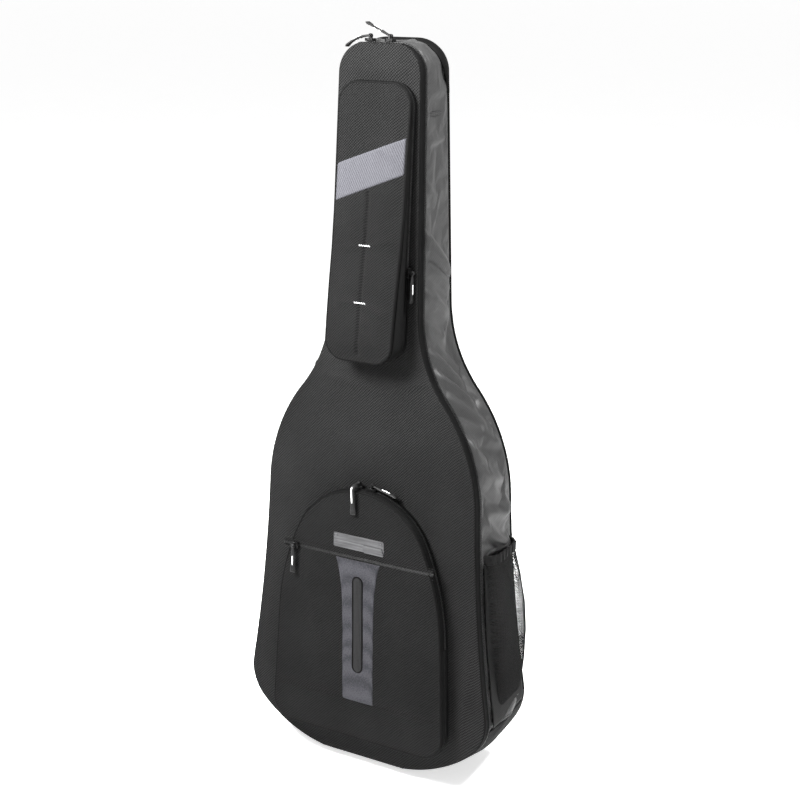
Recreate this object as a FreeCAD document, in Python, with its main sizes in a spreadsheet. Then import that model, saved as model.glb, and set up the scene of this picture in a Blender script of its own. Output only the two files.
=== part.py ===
import FreeCAD, Part
import math
import os
from FreeCAD import Placement, Rotation, Vector

# A padded gig bag for a full-size acoustic guitar, standing on its base.
# +Z is up, the front faces -Y, and the zip side pocket is on +X.
# The back panel is upright; the front cover leans back, so the bag is deepest at the base.

doc = FreeCAD.newDocument("gig_bag")
sheet = doc.addObject("Spreadsheet::Sheet", "dims")

DIMENSIONS = [
    ("height", 1080), ("half_depth", 71), ("lean_angle", 3.36),
    ("base_flat", 45), ("base_radius", 195), ("bout_radius", 88), ("waist_radius", 2475),
    ("shoulder_radius", 257), ("neck_radius", 207), ("head_radius", 42),
    ("front_lift", 13), ("front_base_radius", 202.6), ("front_bout_radius", 71),
    ("edge", 3), ("cover", 1.2), ("padding", 11.8), ("lining", 0.8),
    ("piping_inset", 0.5), ("zip_inset", 1.5), ("piping_depth", 6), ("tape_width", 8),
    ("lid_depth", 14), ("body_gap", 0.15), ("fold_height", 52), ("fold_gap", 0.3),
    ("guard_height", 60), ("bout_top", 600), ("neck_top", 980),
    ("pocket_wall", 3), ("chain_depth", 5), ("chain_thick", 0.8),
    ("body_pocket_bottom", 57), ("body_pocket_top", 449), ("body_pocket_half_base", 112),
    ("body_pocket_corner", 35), ("body_pocket_side_radius", 379), ("body_pocket_arch", 115),
    ("body_pocket_depth", 27), ("body_pocket_split", 13), ("body_fold", 234),
    ("body_pocket_top_depth", 27),
    ("neck_pocket_bottom", 645), ("neck_pocket_top", 1030), ("neck_pocket_half_base", 25),
    ("neck_pocket_corner", 29), ("neck_pocket_arch", 32), ("neck_pocket_taper", 0.6),
    ("neck_pocket_depth", 43), ("neck_pocket_top_depth", 12.5), ("neck_pocket_split", 6), ("neck_fold", 773),
    ("badge_thick", 1.2), ("stripe_thick", 1), ("insert_thick", 2), ("flat_zip_height", 347),
    ("slider_length", 14), ("slider_width", 10), ("slider_thick", 4), ("slider_gap", 0.3),
    ("pivot_height", 7.6), ("bail_thick", 2.2), ("bail_gap", 5.6), ("bail_leg", 1.4),
    ("pull_length", 42), ("pull_thick", 3), ("pull_drape", 55), ("pull_width", 7),
    ("barrel_radius", 3), ("barrel_hole", 1.7), ("barrel_length", 4.6), ("right_slider_reach", 8),
    ("rest_width", 104), ("rest_depth", 26), ("rest_length", 90), ("rest_height", 700),
    ("mesh_front", 26), ("mesh_back", 60), ("mesh_thick", 2), ("mesh_bottom", 112),
    ("mesh_top", 358), ("mesh_bulge", 221), ("hem_height", 13), ("hem_thick", 4),
    ("strap_width", 56), ("strap_top", 770), ("strap_foot", 430), ("strap_spread", 6), ("strap_reach", 30),
    ("webbing_width", 25), ("webbing_thick", 2.5), ("webbing_spread", 13),
    ("handle_low", 300), ("handle_high", 456), ("handle_reach", 24), ("handle_back", 32),
    ("grip_length", 92), ("grip_thick", 11),
    ("loop_top", 1052), ("loop_drop", 86), ("loop_half_width", 34), ("loop_thick", 3),
]


def fill_sheet():
    for row, (alias, value) in enumerate(DIMENSIONS, start=1):
        sheet.set(f"A{row}", alias)
        sheet.set(f"B{row}", str(value))
        sheet.setAlias(f"B{row}", alias)
    doc.recompute()


def size(alias):
    return float(sheet.get(alias))


fill_sheet()

LEAN = math.radians(size("lean_angle"))
# The front's own frame: its origin is the cover's bottom edge, its Z runs up the leaning cover,
# and its Y runs square into the bag, so a depth is positive inside and negative in front.
FRONT = Placement(Vector(0, -size("half_depth"), 0), Rotation(Vector(1, 0, 0), -size("lean_angle")))
UPRIGHT = Placement()


# ---------------------------------------------------------------- outlines

def sided(heading):
    """Unit vector to the right of a heading, in the XZ plane."""
    return Vector(math.sin(heading), -math.cos(heading), 0)


class Outline:
    """A closed mirror-symmetric outline of tangent runs and arcs, from bottom centre to top centre.

    moves are ("run", length) and ("turn", radius, degrees); a positive turn bulges outward.
    One run may have the length None: it is as long as the given top height needs.
    """

    def __init__(self, bottom, top, moves):
        free_heading = self.walk(bottom, [(m[0], m[1] or 0, *m[2:]) for m in moves], moves)
        missing = (top - self.end.y) / math.sin(free_heading)
        self.walk(bottom, [(m[0], missing if m[1] is None else m[1], *m[2:]) for m in moves], moves)
        self.half_top = self.end.x
        if self.half_top > 1e-6:
            self.pieces.append(("run", self.end, math.pi, self.half_top))

    def walk(self, bottom, sized, moves):
        place, heading, free_heading = Vector(0, bottom, 0), 0.0, math.pi / 2
        self.pieces = []
        for move, original in zip(sized, moves):
            if move[0] == "run":
                self.pieces.append(("run", place, heading, move[1]))
                place = place + Vector(math.cos(heading), math.sin(heading), 0) * move[1]
                if original[1] is None:
                    free_heading = heading
            else:
                radius, turn = move[1], math.radians(move[2])
                bulge = math.copysign(1, turn)
                centre = place - sided(heading) * radius * bulge
                self.pieces.append(("turn", centre, radius, heading, heading + turn))
                heading += turn
                place = centre + sided(heading) * radius * bulge
        self.end = place
        return free_heading

    def loop(self, inset=0.0):
        """Sketch geometry of the whole outline, moved inward by inset."""
        edges = []
        for piece in self.pieces:
            if piece[0] == "run":
                _, start, heading, length = piece
                first = start - sided(heading) * inset
                last = first + Vector(math.cos(heading), math.sin(heading), 0) * length
                edges.append(Part.LineSegment(first, last))
                edges.append(Part.LineSegment(Vector(-first.x, first.y, 0), Vector(-last.x, last.y, 0)))
            else:
                _, centre, radius, before, after = piece
                bulge = math.copysign(1, after - before)
                low, high = sorted((before - bulge * math.pi / 2, after - bulge * math.pi / 2))
                other = Vector(-centre.x, centre.y, 0)
                axis = Vector(0, 0, 1)
                inner = radius - bulge * inset
                edges.append(Part.ArcOfCircle(Part.Circle(centre, axis, inner), low, high))
                edges.append(Part.ArcOfCircle(Part.Circle(other, axis, inner), math.pi - high, math.pi - low))
        return edges


def bag_moves(base_radius, bout_radius):
    return [("run", size("base_flat")), ("turn", base_radius, 43), ("turn", bout_radius, 56),
            ("turn", size("waist_radius"), -7.1), ("turn", size("shoulder_radius"), 36.9),
            ("turn", size("neck_radius"), -37.4), ("run", None), ("turn", size("head_radius"), 88.6)]


def body_pocket_moves(half_base):
    return [("run", half_base), ("turn", size("body_pocket_corner"), 93), ("run", None),
            ("turn", size("body_pocket_side_radius"), 22), ("turn", size("body_pocket_arch"), 65)]


def body_pocket_outline():
    """The arch's centre must lie on the middle line, so the base is adjusted until the outline closes."""
    limits = size("body_pocket_bottom"), size("body_pocket_top")
    trial = Outline(*limits, body_pocket_moves(size("body_pocket_half_base")))
    return Outline(*limits, body_pocket_moves(size("body_pocket_half_base") - trial.end.x))


BAG = Outline(0, size("height"), bag_moves(size("base_radius"), size("bout_radius")))
# The front edge of the base is rounded up off the ground, so the cover starts a little higher.
BAG_FRONT = Outline(size("front_lift"), size("height") / math.cos(LEAN),
                    bag_moves(size("front_base_radius"), size("front_bout_radius")))
BODY_POCKET = body_pocket_outline()
NECK_POCKET = Outline(size("neck_pocket_bottom"), size("neck_pocket_top"),
                      [("run", size("neck_pocket_half_base")),
                       ("turn", size("neck_pocket_corner"), 90 - size("neck_pocket_taper")),
                       ("run", None), ("turn", size("neck_pocket_arch"), 90 + size("neck_pocket_taper"))])


# ---------------------------------------------------------------- shape helpers

def polygon(points):
    ends = points[1:] + points[:1]
    return [Part.LineSegment(Vector(*a, 0), Vector(*b, 0)) for a, b in zip(points, ends)]


def rectangle(x0, z0, x1, z1):
    return polygon([(x0, z0), (x1, z0), (x1, z1), (x0, z1)])


def slot(x, z0, z1, radius):
    """Upright slot with round ends, whose straight sides run from z0 to z1."""
    axis = Vector(0, 0, 1)
    return [Part.LineSegment(Vector(x + radius, z0, 0), Vector(x + radius, z1, 0)),
            Part.ArcOfCircle(Part.Circle(Vector(x, z1, 0), axis, radius), 0, math.pi),
            Part.LineSegment(Vector(x - radius, z1, 0), Vector(x - radius, z0, 0)),
            Part.ArcOfCircle(Part.Circle(Vector(x, z0, 0), axis, radius), math.pi, 2 * math.pi)]


def rounded(x0, z0, x1, z1, radius):
    """Rectangle with rounded corners."""
    axis = Vector(0, 0, 1)
    corners = [(x1 - radius, z0 + radius, -90), (x1 - radius, z1 - radius, 0),
               (x0 + radius, z1 - radius, 90), (x0 + radius, z0 + radius, 180)]
    arcs = []
    for x, z, start in corners:
        circle = Part.Circle(Vector(x, z, 0), axis, radius)
        arcs.append(Part.ArcOfCircle(circle, math.radians(start), math.radians(start + 90)))
    sides = [Part.LineSegment(a.EndPoint, b.StartPoint) for a, b in zip(arcs, arcs[1:] + arcs[:1])]
    return arcs + sides


def new_body(label, placement=UPRIGHT):
    body = doc.addObject("PartDesign::Body", label)
    body.Label = label
    body.Placement = placement
    return body


def add_sketch(body, role, geometry, offset="0"):
    """Sketch on one of the body's own origin planes, moved along its normal by an expression."""
    plane = next(f for f in body.Origin.OriginFeatures if f.Role == role)
    sketch = body.newObject("Sketcher::SketchObject", "sketch")
    sketch.AttachmentSupport = [(plane, "")]
    sketch.MapMode = "FlatFace"
    sketch.setExpression("AttachmentOffset.Base.z", offset)
    sketch.addGeometry(geometry, False)
    return sketch


def pad(body, role, geometry, offset, length, midplane=False):
    sketch = add_sketch(body, role, geometry, offset)
    feature = body.newObject("PartDesign::Pad", "pad")
    feature.Profile = sketch
    feature.Midplane = midplane
    feature.setExpression("Length", length)
    return feature


def cut_through(body, role, geometry):
    sketch = add_sketch(body, role, geometry)
    feature = body.newObject("PartDesign::Pocket", "cut")
    feature.Profile = sketch
    feature.Type = "ThroughAll"
    feature.Midplane = True
    return feature


def layer(body, geometry, front, back):
    """Material between two depths, both expressions; depths grow towards +Y."""
    pad(body, "XZ_Plane", geometry, f"-({back})", f"({back}) - ({front})")


def keep_window(body, x0, z0, x1, z1):
    """Cut away everything outside one rectangle, as seen from the front."""
    reach = 2000
    cut_through(body, "XZ_Plane", rectangle(-reach, -reach, reach, reach) + rectangle(x0, z0, x1, z1))


def cut_leaning(body, depth, reach):
    """Cut an upright body at the leaning plane that far behind the cover, as far as Y = reach."""
    low, high = -100, 1300
    edge = [(-size("half_depth") + z * math.tan(LEAN) + depth / math.cos(LEAN), z) for z in (low, high)]
    cut_through(body, "YZ_Plane", polygon([edge[0], edge[1], (reach, high), (reach, low)]))


WIDE = 400
HIGH = 1300
IN_FRONT = -300
BEHIND = 300
SHELL_FRONT = size("lid_depth") + size("body_gap")
LID_BACK = "dims.lid_depth - dims.body_gap"
FOLD = size("fold_height")
FOLD_TOP = FOLD + size("fold_gap")
FOLD_LOW = FOLD - size("fold_gap")
EDGE = size("edge")
SKIN = EDGE + size("cover")
INNER = SKIN + size("padding")


# ---------------------------------------------------------------- shell: back, sides and base

def make_back():
    foam_front = "dims.half_depth - dims.cover - dims.padding"
    body = new_body("back_foam")
    layer(body, BAG.loop(SKIN), foam_front, "dims.half_depth - dims.cover")
    body = new_body("back_cover")
    layer(body, BAG.loop(EDGE), "dims.half_depth - dims.cover", "dims.half_depth")
    body = new_body("back_piping")
    ring = BAG.loop(size("piping_inset")) + BAG.loop(EDGE)
    layer(body, ring, "dims.half_depth - dims.piping_depth", "dims.half_depth")


def side_wall(label, outer, inner, back, window):
    body = new_body(label)
    layer(body, BAG.loop(outer) + BAG.loop(inner), "-dims.half_depth", back)
    keep_window(body, *window)
    cut_leaning(body, SHELL_FRONT, IN_FRONT)
    return body


def make_sides():
    foam_back = "dims.half_depth - dims.cover - dims.padding"
    guard, bout, neck = size("guard_height"), size("bout_top"), size("neck_top")
    foam_windows = {
        "base_foam": (-WIDE, -1, WIDE, guard),
        "left_side_foam": (-WIDE, guard, 0, bout),
        "right_side_foam": (0, guard, WIDE, bout),
        "neck_side_foam": (-WIDE, bout, WIDE, neck),
        "head_foam": (-WIDE, neck, WIDE, HIGH),
    }
    for label, window in foam_windows.items():
        side_wall(label, SKIN, INNER, foam_back, window)
    skin_back = "dims.half_depth - dims.cover"
    side_wall("side_cover", EDGE, SKIN, skin_back, (-WIDE, guard, WIDE, HIGH))
    side_wall("base_guard", 0, SKIN, "dims.half_depth - dims.piping_depth", (-WIDE, -1, WIDE, guard))


def make_lining():
    """Lining of the compartment: the back sheet and the side band, sewn together."""
    body = new_body("shell_lining")
    back = "dims.half_depth - dims.cover - dims.padding"
    deep = INNER + size("lining")
    layer(body, BAG.loop(INNER), f"{back} - dims.lining", back)
    layer(body, BAG.loop(INNER) + BAG.loop(deep), "-dims.half_depth", f"{back} - dims.lining")
    cut_leaning(body, SHELL_FRONT, IN_FRONT)


def make_sill():
    """The strip of front panel below the ends of the main zip stays with the shell."""
    shell_front = "dims.lid_depth + dims.body_gap"
    strips = {
        "sill_cover": (BAG_FRONT.loop(EDGE), "0", "dims.cover"),
        "sill_foam": (BAG_FRONT.loop(EDGE), "dims.cover", shell_front),
        "sill_piping": (BAG_FRONT.loop(size("zip_inset")) + BAG_FRONT.loop(EDGE), "0", shell_front),
    }
    for label, (geometry, front, back) in strips.items():
        body = new_body(label, FRONT)
        layer(body, geometry, front, back)
        keep_window(body, -WIDE, -1, WIDE, FOLD_LOW)


def make_shell_zip():
    """Shell half of the main zip: a band round the bag's mouth, above the fold."""
    window = (-WIDE, size("guard_height"), WIDE, HIGH)
    body = side_wall("main_zip_shell", size("zip_inset"), EDGE, "dims.half_depth", window)
    cut_leaning(body, SHELL_FRONT + size("tape_width"), BEHIND)


def make_neck_rest():
    """Foam block with a groove that carries the guitar's neck."""
    groove_radius, groove_axis = 30, -12
    half, deep = size("rest_width") / 2, size("rest_depth")
    reach = math.sqrt(groove_radius**2 - groove_axis**2)
    axis = Vector(0, 0, 1)
    start = math.atan2(-groove_axis, -reach)
    groove = Part.ArcOfCircle(Part.Circle(Vector(0, groove_axis, 0), axis, groove_radius),
                              math.pi - start, start)
    outline = [groove,
               Part.LineSegment(Vector(reach, 0, 0), Vector(half, 0, 0)),
               Part.LineSegment(Vector(half, 0, 0), Vector(half, deep, 0)),
               Part.LineSegment(Vector(half, deep, 0), Vector(-half, deep, 0)),
               Part.LineSegment(Vector(-half, deep, 0), Vector(-half, 0, 0)),
               Part.LineSegment(Vector(-half, 0, 0), Vector(-reach, 0, 0))]
    back = size("half_depth") - size("cover") - size("padding") - size("lining")
    body = new_body("neck_rest", Placement(Vector(0, back - deep, size("rest_height")), Rotation()))
    pad(body, "XY_Plane", outline, "0", "dims.rest_length")


# ---------------------------------------------------------------- shell: pocket, straps and fittings

def make_mesh_pocket():
    """Bottle pocket on the right side: walls of mesh, open at the top, closed by an elastic hem."""
    low, high, bulge = size("mesh_bottom"), size("mesh_top"), size("mesh_bulge")
    foot, waist, rim = 204.5, 235, 197.5

    def outer_side(shift):
        arc = Part.Arc(Vector(foot - shift, low, 0), Vector(bulge - shift, waist, 0),
                       Vector(rim - shift, high, 0))
        return arc

    root = 150
    body = new_body("mesh_pocket")
    profile = [outer_side(0), Part.LineSegment(Vector(rim, high, 0), Vector(root, high, 0)),
               Part.LineSegment(Vector(root, high, 0), Vector(root, low, 0)),
               Part.LineSegment(Vector(root, low, 0), Vector(foot, low, 0))]
    layer(body, profile, "-dims.mesh_front", "dims.mesh_back")
    thick = size("mesh_thick")
    floor = low + 8
    hollow_top = high + 5
    hollow = [Part.Arc(Vector(foot + 1, floor, 0), Vector(bulge - thick, waist, 0),
                       Vector(rim - thick, high, 0)),
              Part.LineSegment(Vector(rim - thick, high, 0), Vector(rim - thick, hollow_top, 0)),
              Part.LineSegment(Vector(rim - thick, hollow_top, 0), Vector(root - 1, hollow_top, 0)),
              Part.LineSegment(Vector(root - 1, hollow_top, 0), Vector(root - 1, floor, 0)),
              Part.LineSegment(Vector(root - 1, floor, 0), Vector(foot + 1, floor, 0))]
    sketch = add_sketch(body, "XZ_Plane", hollow, "-(dims.mesh_back - dims.mesh_thick)")
    cavity = body.newObject("PartDesign::Pocket", "cavity")
    cavity.Profile = sketch
    cavity.Reversed = True
    cavity.setExpression("Length", "dims.mesh_front + dims.mesh_back - 2 * dims.mesh_thick")
    cut_through(body, "XZ_Plane", BAG.loop(EDGE - 0.1))

    hem = doc.addObject("Part::Box", "mesh_pocket_hem")
    hem.Label = "mesh_pocket_hem"
    hem.setExpression("Length", "dims.hem_thick")
    hem.setExpression("Width", "dims.mesh_front + dims.mesh_back")
    hem.setExpression("Height", "dims.hem_height")
    hem.Placement = Placement(Vector(rim - size("hem_thick"), -size("mesh_front"), high), Rotation())


def make_shoulder_straps():
    """Padded straps that bow off the back, with webbing, ladder locks, a yoke and lower anchors."""
    top, foot = size("strap_top"), size("strap_foot")
    back = size("half_depth")
    middle = (top + foot) / 2
    for side, label in ((1, "shoulder_strap_right"), (-1, "shoulder_strap_left")):
        inner = Part.Arc(Vector(2, top, 0), Vector(11, middle, 0), Vector(3, foot, 0))
        outer = Part.Arc(Vector(9, top, 0), Vector(21, middle, 0), Vector(11, foot, 0))
        profile = [inner, outer,
                   Part.LineSegment(Vector(2, top, 0), Vector(9, top, 0)),
                   Part.LineSegment(Vector(3, foot, 0), Vector(11, foot, 0))]
        spread = Rotation(Vector(0, 1, 0), -side * size("strap_spread"))
        head = Vector(side * size("strap_reach"), back, top)
        body = new_body(label, Placement(head - spread.multVec(Vector(0, 0, top)), spread))
        pad(body, "YZ_Plane", profile, "0", "dims.strap_width", midplane=True)

    webbing = doc.addObject("Part::MultiFuse", "strap_webbing")
    locks = doc.addObject("Part::MultiFuse", "ladder_locks")
    anchors = doc.addObject("Part::MultiFuse", "strap_anchors")
    groups = {"strap_webbing": (webbing, []), "ladder_locks": (locks, []), "strap_anchors": (anchors, [])}
    run_length, lock_size, anchor_size = 240, (34, 9, 26), (44, 2, 40)
    for side in (1, -1):
        spread = Rotation(Vector(0, 1, 0), -side * size("webbing_spread"))
        end = size("strap_reach") + (top - foot) * math.sin(math.radians(size("strap_spread")))
        foot_place = Vector(side * end, back, foot)

        def hang(group, length, width, drop, gap):
            """Box centred on the webbing's line, hanging from drop below the strap's foot."""
            box = doc.addObject("Part::Box", f"{group}_box")
            box.Length, box.Width, box.Height = width
            corner = spread.multVec(Vector(-width[0] / 2, gap, -drop - length))
            box.Placement = Placement(foot_place + corner, spread)
            groups[group][1].append(box)

        hang("ladder_locks", lock_size[2], lock_size, 1, 2.6)
        hang("strap_webbing", run_length, (size("webbing_width"), size("webbing_thick"), run_length),
             lock_size[2] + 1.5, 2.6)
        hang("strap_anchors", anchor_size[2], anchor_size, lock_size[2] + run_length - 30, 0.2)
    for label, (fuse, boxes) in groups.items():
        fuse.Shapes = boxes
        fuse.Label = label

    yoke = new_body("strap_yoke")
    shape = polygon([(-64, top + 3), (64, top + 3), (54, top + 42), (-54, top + 42)])
    layer(yoke, shape, "dims.half_depth", "dims.half_depth + 2")


def make_side_handle():
    """Carrying handle on the left side: webbing between two anchors, with a sleeve as its grip."""
    low, high = size("handle_low"), size("handle_high")
    web, half, narrow = 3, size("webbing_width") / 2, 6
    end, shoulder, corner = -186.5, -192, 20
    outer = shoulder - size("handle_reach") + 8
    place = Placement(Vector(0, size("handle_back"), 0), Rotation())
    body = new_body("side_handle_webbing", place)
    bow = polygon([(shoulder, high), (outer, high - corner), (outer, low + corner), (shoulder, low),
                   (shoulder, low + web + 1), (outer + web, low + corner + 2),
                   (outer + web, high - corner - 2), (shoulder, high - web - 1)])
    layer(body, bow, f"{-half}", f"{half}")
    for inner, tip in ((low, low + web + 1), (high - web - 1, high)):
        layer(body, rectangle(shoulder, inner, end, tip), f"{-narrow}", f"{narrow}")
    middle, length, grip = (low + high) / 2, size("grip_length"), size("grip_thick")
    sleeve = new_body("side_handle_grip", place)
    centre = outer + web / 2
    ring = rounded(centre - grip / 2, middle - length / 2, centre + grip / 2, middle + length / 2, 4)
    layer(sleeve, ring, f"{-half - 3}", f"{half + 3}")
    slit = rectangle(outer, middle - length, outer + web, middle + length)
    sketch = add_sketch(sleeve, "XZ_Plane", slit, f"-{half}")
    bore = sleeve.newObject("PartDesign::Pocket", "bore")
    bore.Profile = sketch
    bore.Reversed = True
    bore.Length = 2 * half


def make_anchor_patches():
    """Stitched patches that hold the side handle's two ends."""
    patches = []
    for name, z, x in (("low", size("handle_low"), -178), ("high", size("handle_high"), -166)):
        box = doc.addObject("Part::Box", f"patch_{name}")
        box.Length, box.Width, box.Height = 183.2 + x, 30, 34
        box.Placement = Placement(Vector(-183.2, size("handle_back") - 15, z - 17), Rotation())
        patches.append(box)
    blocks = doc.addObject("Part::MultiFuse", "patch_blocks")
    blocks.Shapes = patches
    solid = doc.addObject("Part::Feature", "handle_anchors")
    doc.recompute()
    wire = Part.Wire(Part.__sortEdges__([edge.toShape() for edge in BAG.loop(EDGE - 0.05)]))
    bag = Part.Face(wire).extrude(Vector(0, 0, 200))
    bag.rotate(Vector(), Vector(1, 0, 0), 90)
    bag.translate(Vector(0, 100, 0))
    solid.Shape = blocks.Shape.cut(bag)
    solid.Label = "handle_anchors"


def make_hang_loop():
    """Webbing loop that hangs down the back of the head."""
    top, drop, half = size("loop_top"), size("loop_drop"), size("loop_half_width")
    inner = half - 20
    body = new_body("hang_loop")
    outline = [(-half, top), (-half, top - drop + 10), (-half + 10, top - drop), (half - 10, top - drop),
               (half, top - drop + 10), (half, top), (inner, top), (inner, top - drop + 20),
               (-inner, top - drop + 20), (-inner, top)]
    layer(body, polygon(outline), "dims.half_depth + 1", "dims.half_depth + 1 + dims.loop_thick")


# ---------------------------------------------------------------- front cover

def make_front_cover():
    layers = {
        "front_cover_skin": (BAG_FRONT.loop(EDGE), "0", "dims.cover"),
        "front_cover_foam": (BAG_FRONT.loop(EDGE), "dims.cover", f"{LID_BACK} - dims.lining"),
        "front_cover_lining": (BAG_FRONT.loop(EDGE), f"{LID_BACK} - dims.lining", LID_BACK),
        "front_piping": (BAG_FRONT.loop(size("piping_inset")) + BAG_FRONT.loop(EDGE), "0", "dims.piping_depth"),
        "main_zip_front": (BAG_FRONT.loop(size("zip_inset")) + BAG_FRONT.loop(EDGE),
                           "dims.piping_depth", LID_BACK),
    }
    for label, (geometry, front, back) in layers.items():
        body = new_body(label, FRONT)
        layer(body, geometry, front, back)
        keep_window(body, -WIDE, FOLD_TOP, WIDE, HIGH)


def face_depth(name, height):
    """How far a pocket's face stands off the cover at a height: it may be deeper at the bottom."""
    low, high = size(f"{name}_bottom"), size(f"{name}_top")
    deep, shallow = size(f"{name}_depth"), size(f"{name}_top_depth")
    return deep + (shallow - deep) * (height - low) / (high - low)


def beyond(name, inset, reach):
    """Outline, as seen from the side, of all that lies between a pocket's face, moved in, and reach."""
    low, high = 0, HIGH
    edge = [(inset - face_depth(name, z), z) for z in (low, high)]
    return polygon([edge[0], edge[1], (reach, high), (reach, low)])


def tray(label, name, outline, split, window):
    """Pocket front: a panel, level or sloping, with a rim that reaches back to the zip."""
    body = new_body(label, FRONT)
    wall = size("pocket_wall")
    ahead = 2 * size(f"{name}_depth")
    layer(body, outline.loop(), f"-{ahead}", "0")
    cut_through(body, "YZ_Plane", beyond(name, 0, -WIDE))
    cut_through(body, "YZ_Plane", beyond(name, wall, WIDE))
    layer(body, outline.loop() + outline.loop(wall), f"-{ahead}", f"-{split}")
    cut_through(body, "YZ_Plane", beyond(name, 0, -WIDE))
    keep_window(body, *window)


def make_pocket(name, outline, fold):
    """A raised pocket on the cover: fixed wall and lower front, and a flap above its fold."""
    split = f"dims.{name}_split"
    wall = new_body(f"{name}_wall", FRONT)
    layer(wall, outline.loop() + outline.loop(size("pocket_wall")), f"-{split}", "0")
    gap = size("fold_gap")
    tray(f"{name}_front", name, outline, split, (-WIDE, 0, WIDE, fold - gap))
    tray(f"{name}_flap", name, outline, f"({split} + dims.fold_gap)", (-WIDE, fold + gap, WIDE, HIGH))
    chain = new_body(f"{name}_zip", FRONT)
    ring = outline.loop(-size("chain_thick")) + outline.loop()
    layer(chain, ring, f"-{split} - dims.fold_gap - dims.chain_depth", f"-{split} - dims.fold_gap")
    keep_window(chain, -WIDE, fold + gap, WIDE, HIGH)


def trim(label, geometry, rest_depth, thick):
    """Flat trim lying on a surface at rest_depth, an expression, and standing proud by thick."""
    body = new_body(label, FRONT)
    layer(body, geometry, f"{rest_depth} - {thick}", rest_depth)


def make_trims():
    face = "-dims.body_pocket_depth"
    fold, gap = size("body_fold"), size("fold_gap")
    top, waist, foot = 344, 280, 119
    wide, narrow = 37, 26
    upper = polygon([(-narrow, fold + gap), (narrow, fold + gap), (narrow + 1, waist), (wide, top),
                     (-wide, top), (-narrow - 1, waist)])
    trim("accent_stripe_upper", upper, face, "dims.stripe_thick")
    lower = polygon([(-narrow, foot), (narrow, foot), (narrow, fold - gap), (-narrow, fold - gap)])
    trim("accent_stripe_lower", lower, face, "dims.stripe_thick")
    radius, slot_low, slot_high = 8, 176, 310
    for label, window in (("slot_insert_upper", (-WIDE, fold + gap, WIDE, HIGH)),
                          ("slot_insert_lower", (-WIDE, 0, WIDE, fold - gap))):
        trim(label, slot(0, slot_low, slot_high, radius), f"{face} - dims.stripe_thick", "dims.insert_thick")
        keep_window(doc.getObject(label), *window)
    trim("badge_plate", rounded(-42, 359, 43, 382, 3), face, "dims.badge_thick")
    chain = size("flat_zip_height")
    trim("flat_pocket_zip", rectangle(-128, chain - 2.5, 122, chain + 2.5), face, "dims.chain_thick")
    left, right = 868, 908
    height = 49
    half = 52
    band = polygon([(-half, left), (half, right), (half, right + height), (-half, left + height)])
    low, high = size("neck_pocket_bottom"), size("neck_pocket_top")
    slope = math.degrees(math.atan((size("neck_pocket_depth") - size("neck_pocket_top_depth")) / (high - low)))
    sloping = on_front(0, -size("neck_pocket_depth"), low, Rotation(Vector(1, 0, 0), -slope))
    strip = new_body("neck_accent_band", sloping.multiply(Placement(Vector(0, 0, -low), Rotation())))
    layer(strip, band, "-dims.stripe_thick", "0")


# ---------------------------------------------------------------- zip sliders and pulls

def make_slider(label, place, bar_along_travel):
    """Slider whose own X is its travel and whose own Z points out of the zip's face."""
    long, wide = size("slider_length") / 2, size("slider_width") / 2
    waist = wide - 1.2
    body = new_body(label, place)
    plan = polygon([(-long, -waist), (-long + 3, -wide), (0, -wide + 0.6), (long - 2, -wide), (long, -wide + 2),
                    (long, wide - 2), (long - 2, wide), (0, wide - 0.6), (-long + 3, wide), (-long, waist)])
    pad(body, "XY_Plane", plan, "dims.slider_gap", "dims.slider_thick")
    half_gap = size("bail_gap") / 2
    leg = half_gap + size("bail_leg")
    foot = size("slider_gap") + size("slider_thick") - 0.5
    crown, bar_low = size("pivot_height") + size("bail_thick") / 2, size("pivot_height") - size("bail_thick") / 2
    portal = polygon([(-leg, foot), (-half_gap, foot), (-half_gap, bar_low), (half_gap, bar_low),
                      (half_gap, foot), (leg, foot), (leg, crown), (-leg, crown)])
    role = "XZ_Plane" if bar_along_travel else "YZ_Plane"
    pad(body, role, portal, "0", "dims.bail_thick", midplane=True)


def barrel(body):
    """Eye that turns on the slider's bar, with its axis along the body's X."""
    axis = Vector(0, 0, 1)
    rings = [Part.Circle(Vector(), axis, size("barrel_radius")), Part.Circle(Vector(), axis, size("barrel_hole"))]
    pad(body, "YZ_Plane", rings, "0", "dims.barrel_length", midplane=True)


def make_pull(label, place):
    """Moulded pull that hangs along its own -Z from the eye, flaring at its end."""
    body = new_body(label, place)
    barrel(body)
    neck, start, shoulder = 2, -size("barrel_hole") - 0.5, -8
    end = -size("pull_length")
    grip, flare = 3.2, 5
    shape = polygon([(-neck, start), (-neck, shoulder), (-grip, shoulder - 3), (-grip, end + 12), (-flare, end),
                     (flare, end), (grip, end + 12), (grip, shoulder - 3), (neck, shoulder), (neck, start)])
    pad(body, "XZ_Plane", shape, "0", "dims.pull_thick", midplane=True)


def make_bent_pull(label, place):
    """The same pull bent over the pocket's front edge: forward from the eye, then down."""
    body = new_body(label, place)
    barrel(body)
    half, start, reach = size("pull_thick") / 2, size("barrel_hole") + 0.5, 20
    turn, end = 7, -size("pull_length")
    neck = rectangle(-turn - 1, -half, -start, half)
    pad(body, "YZ_Plane", neck, "0", "4", midplane=True)
    front = -reach - 2 * half
    leg = polygon([(-turn, half), (-turn, -half), (-reach, -half), (-reach, end), (front, end), (front, 0),
                   (front + half, half)])
    pad(body, "YZ_Plane", leg, "0", "7", midplane=True)


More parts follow.
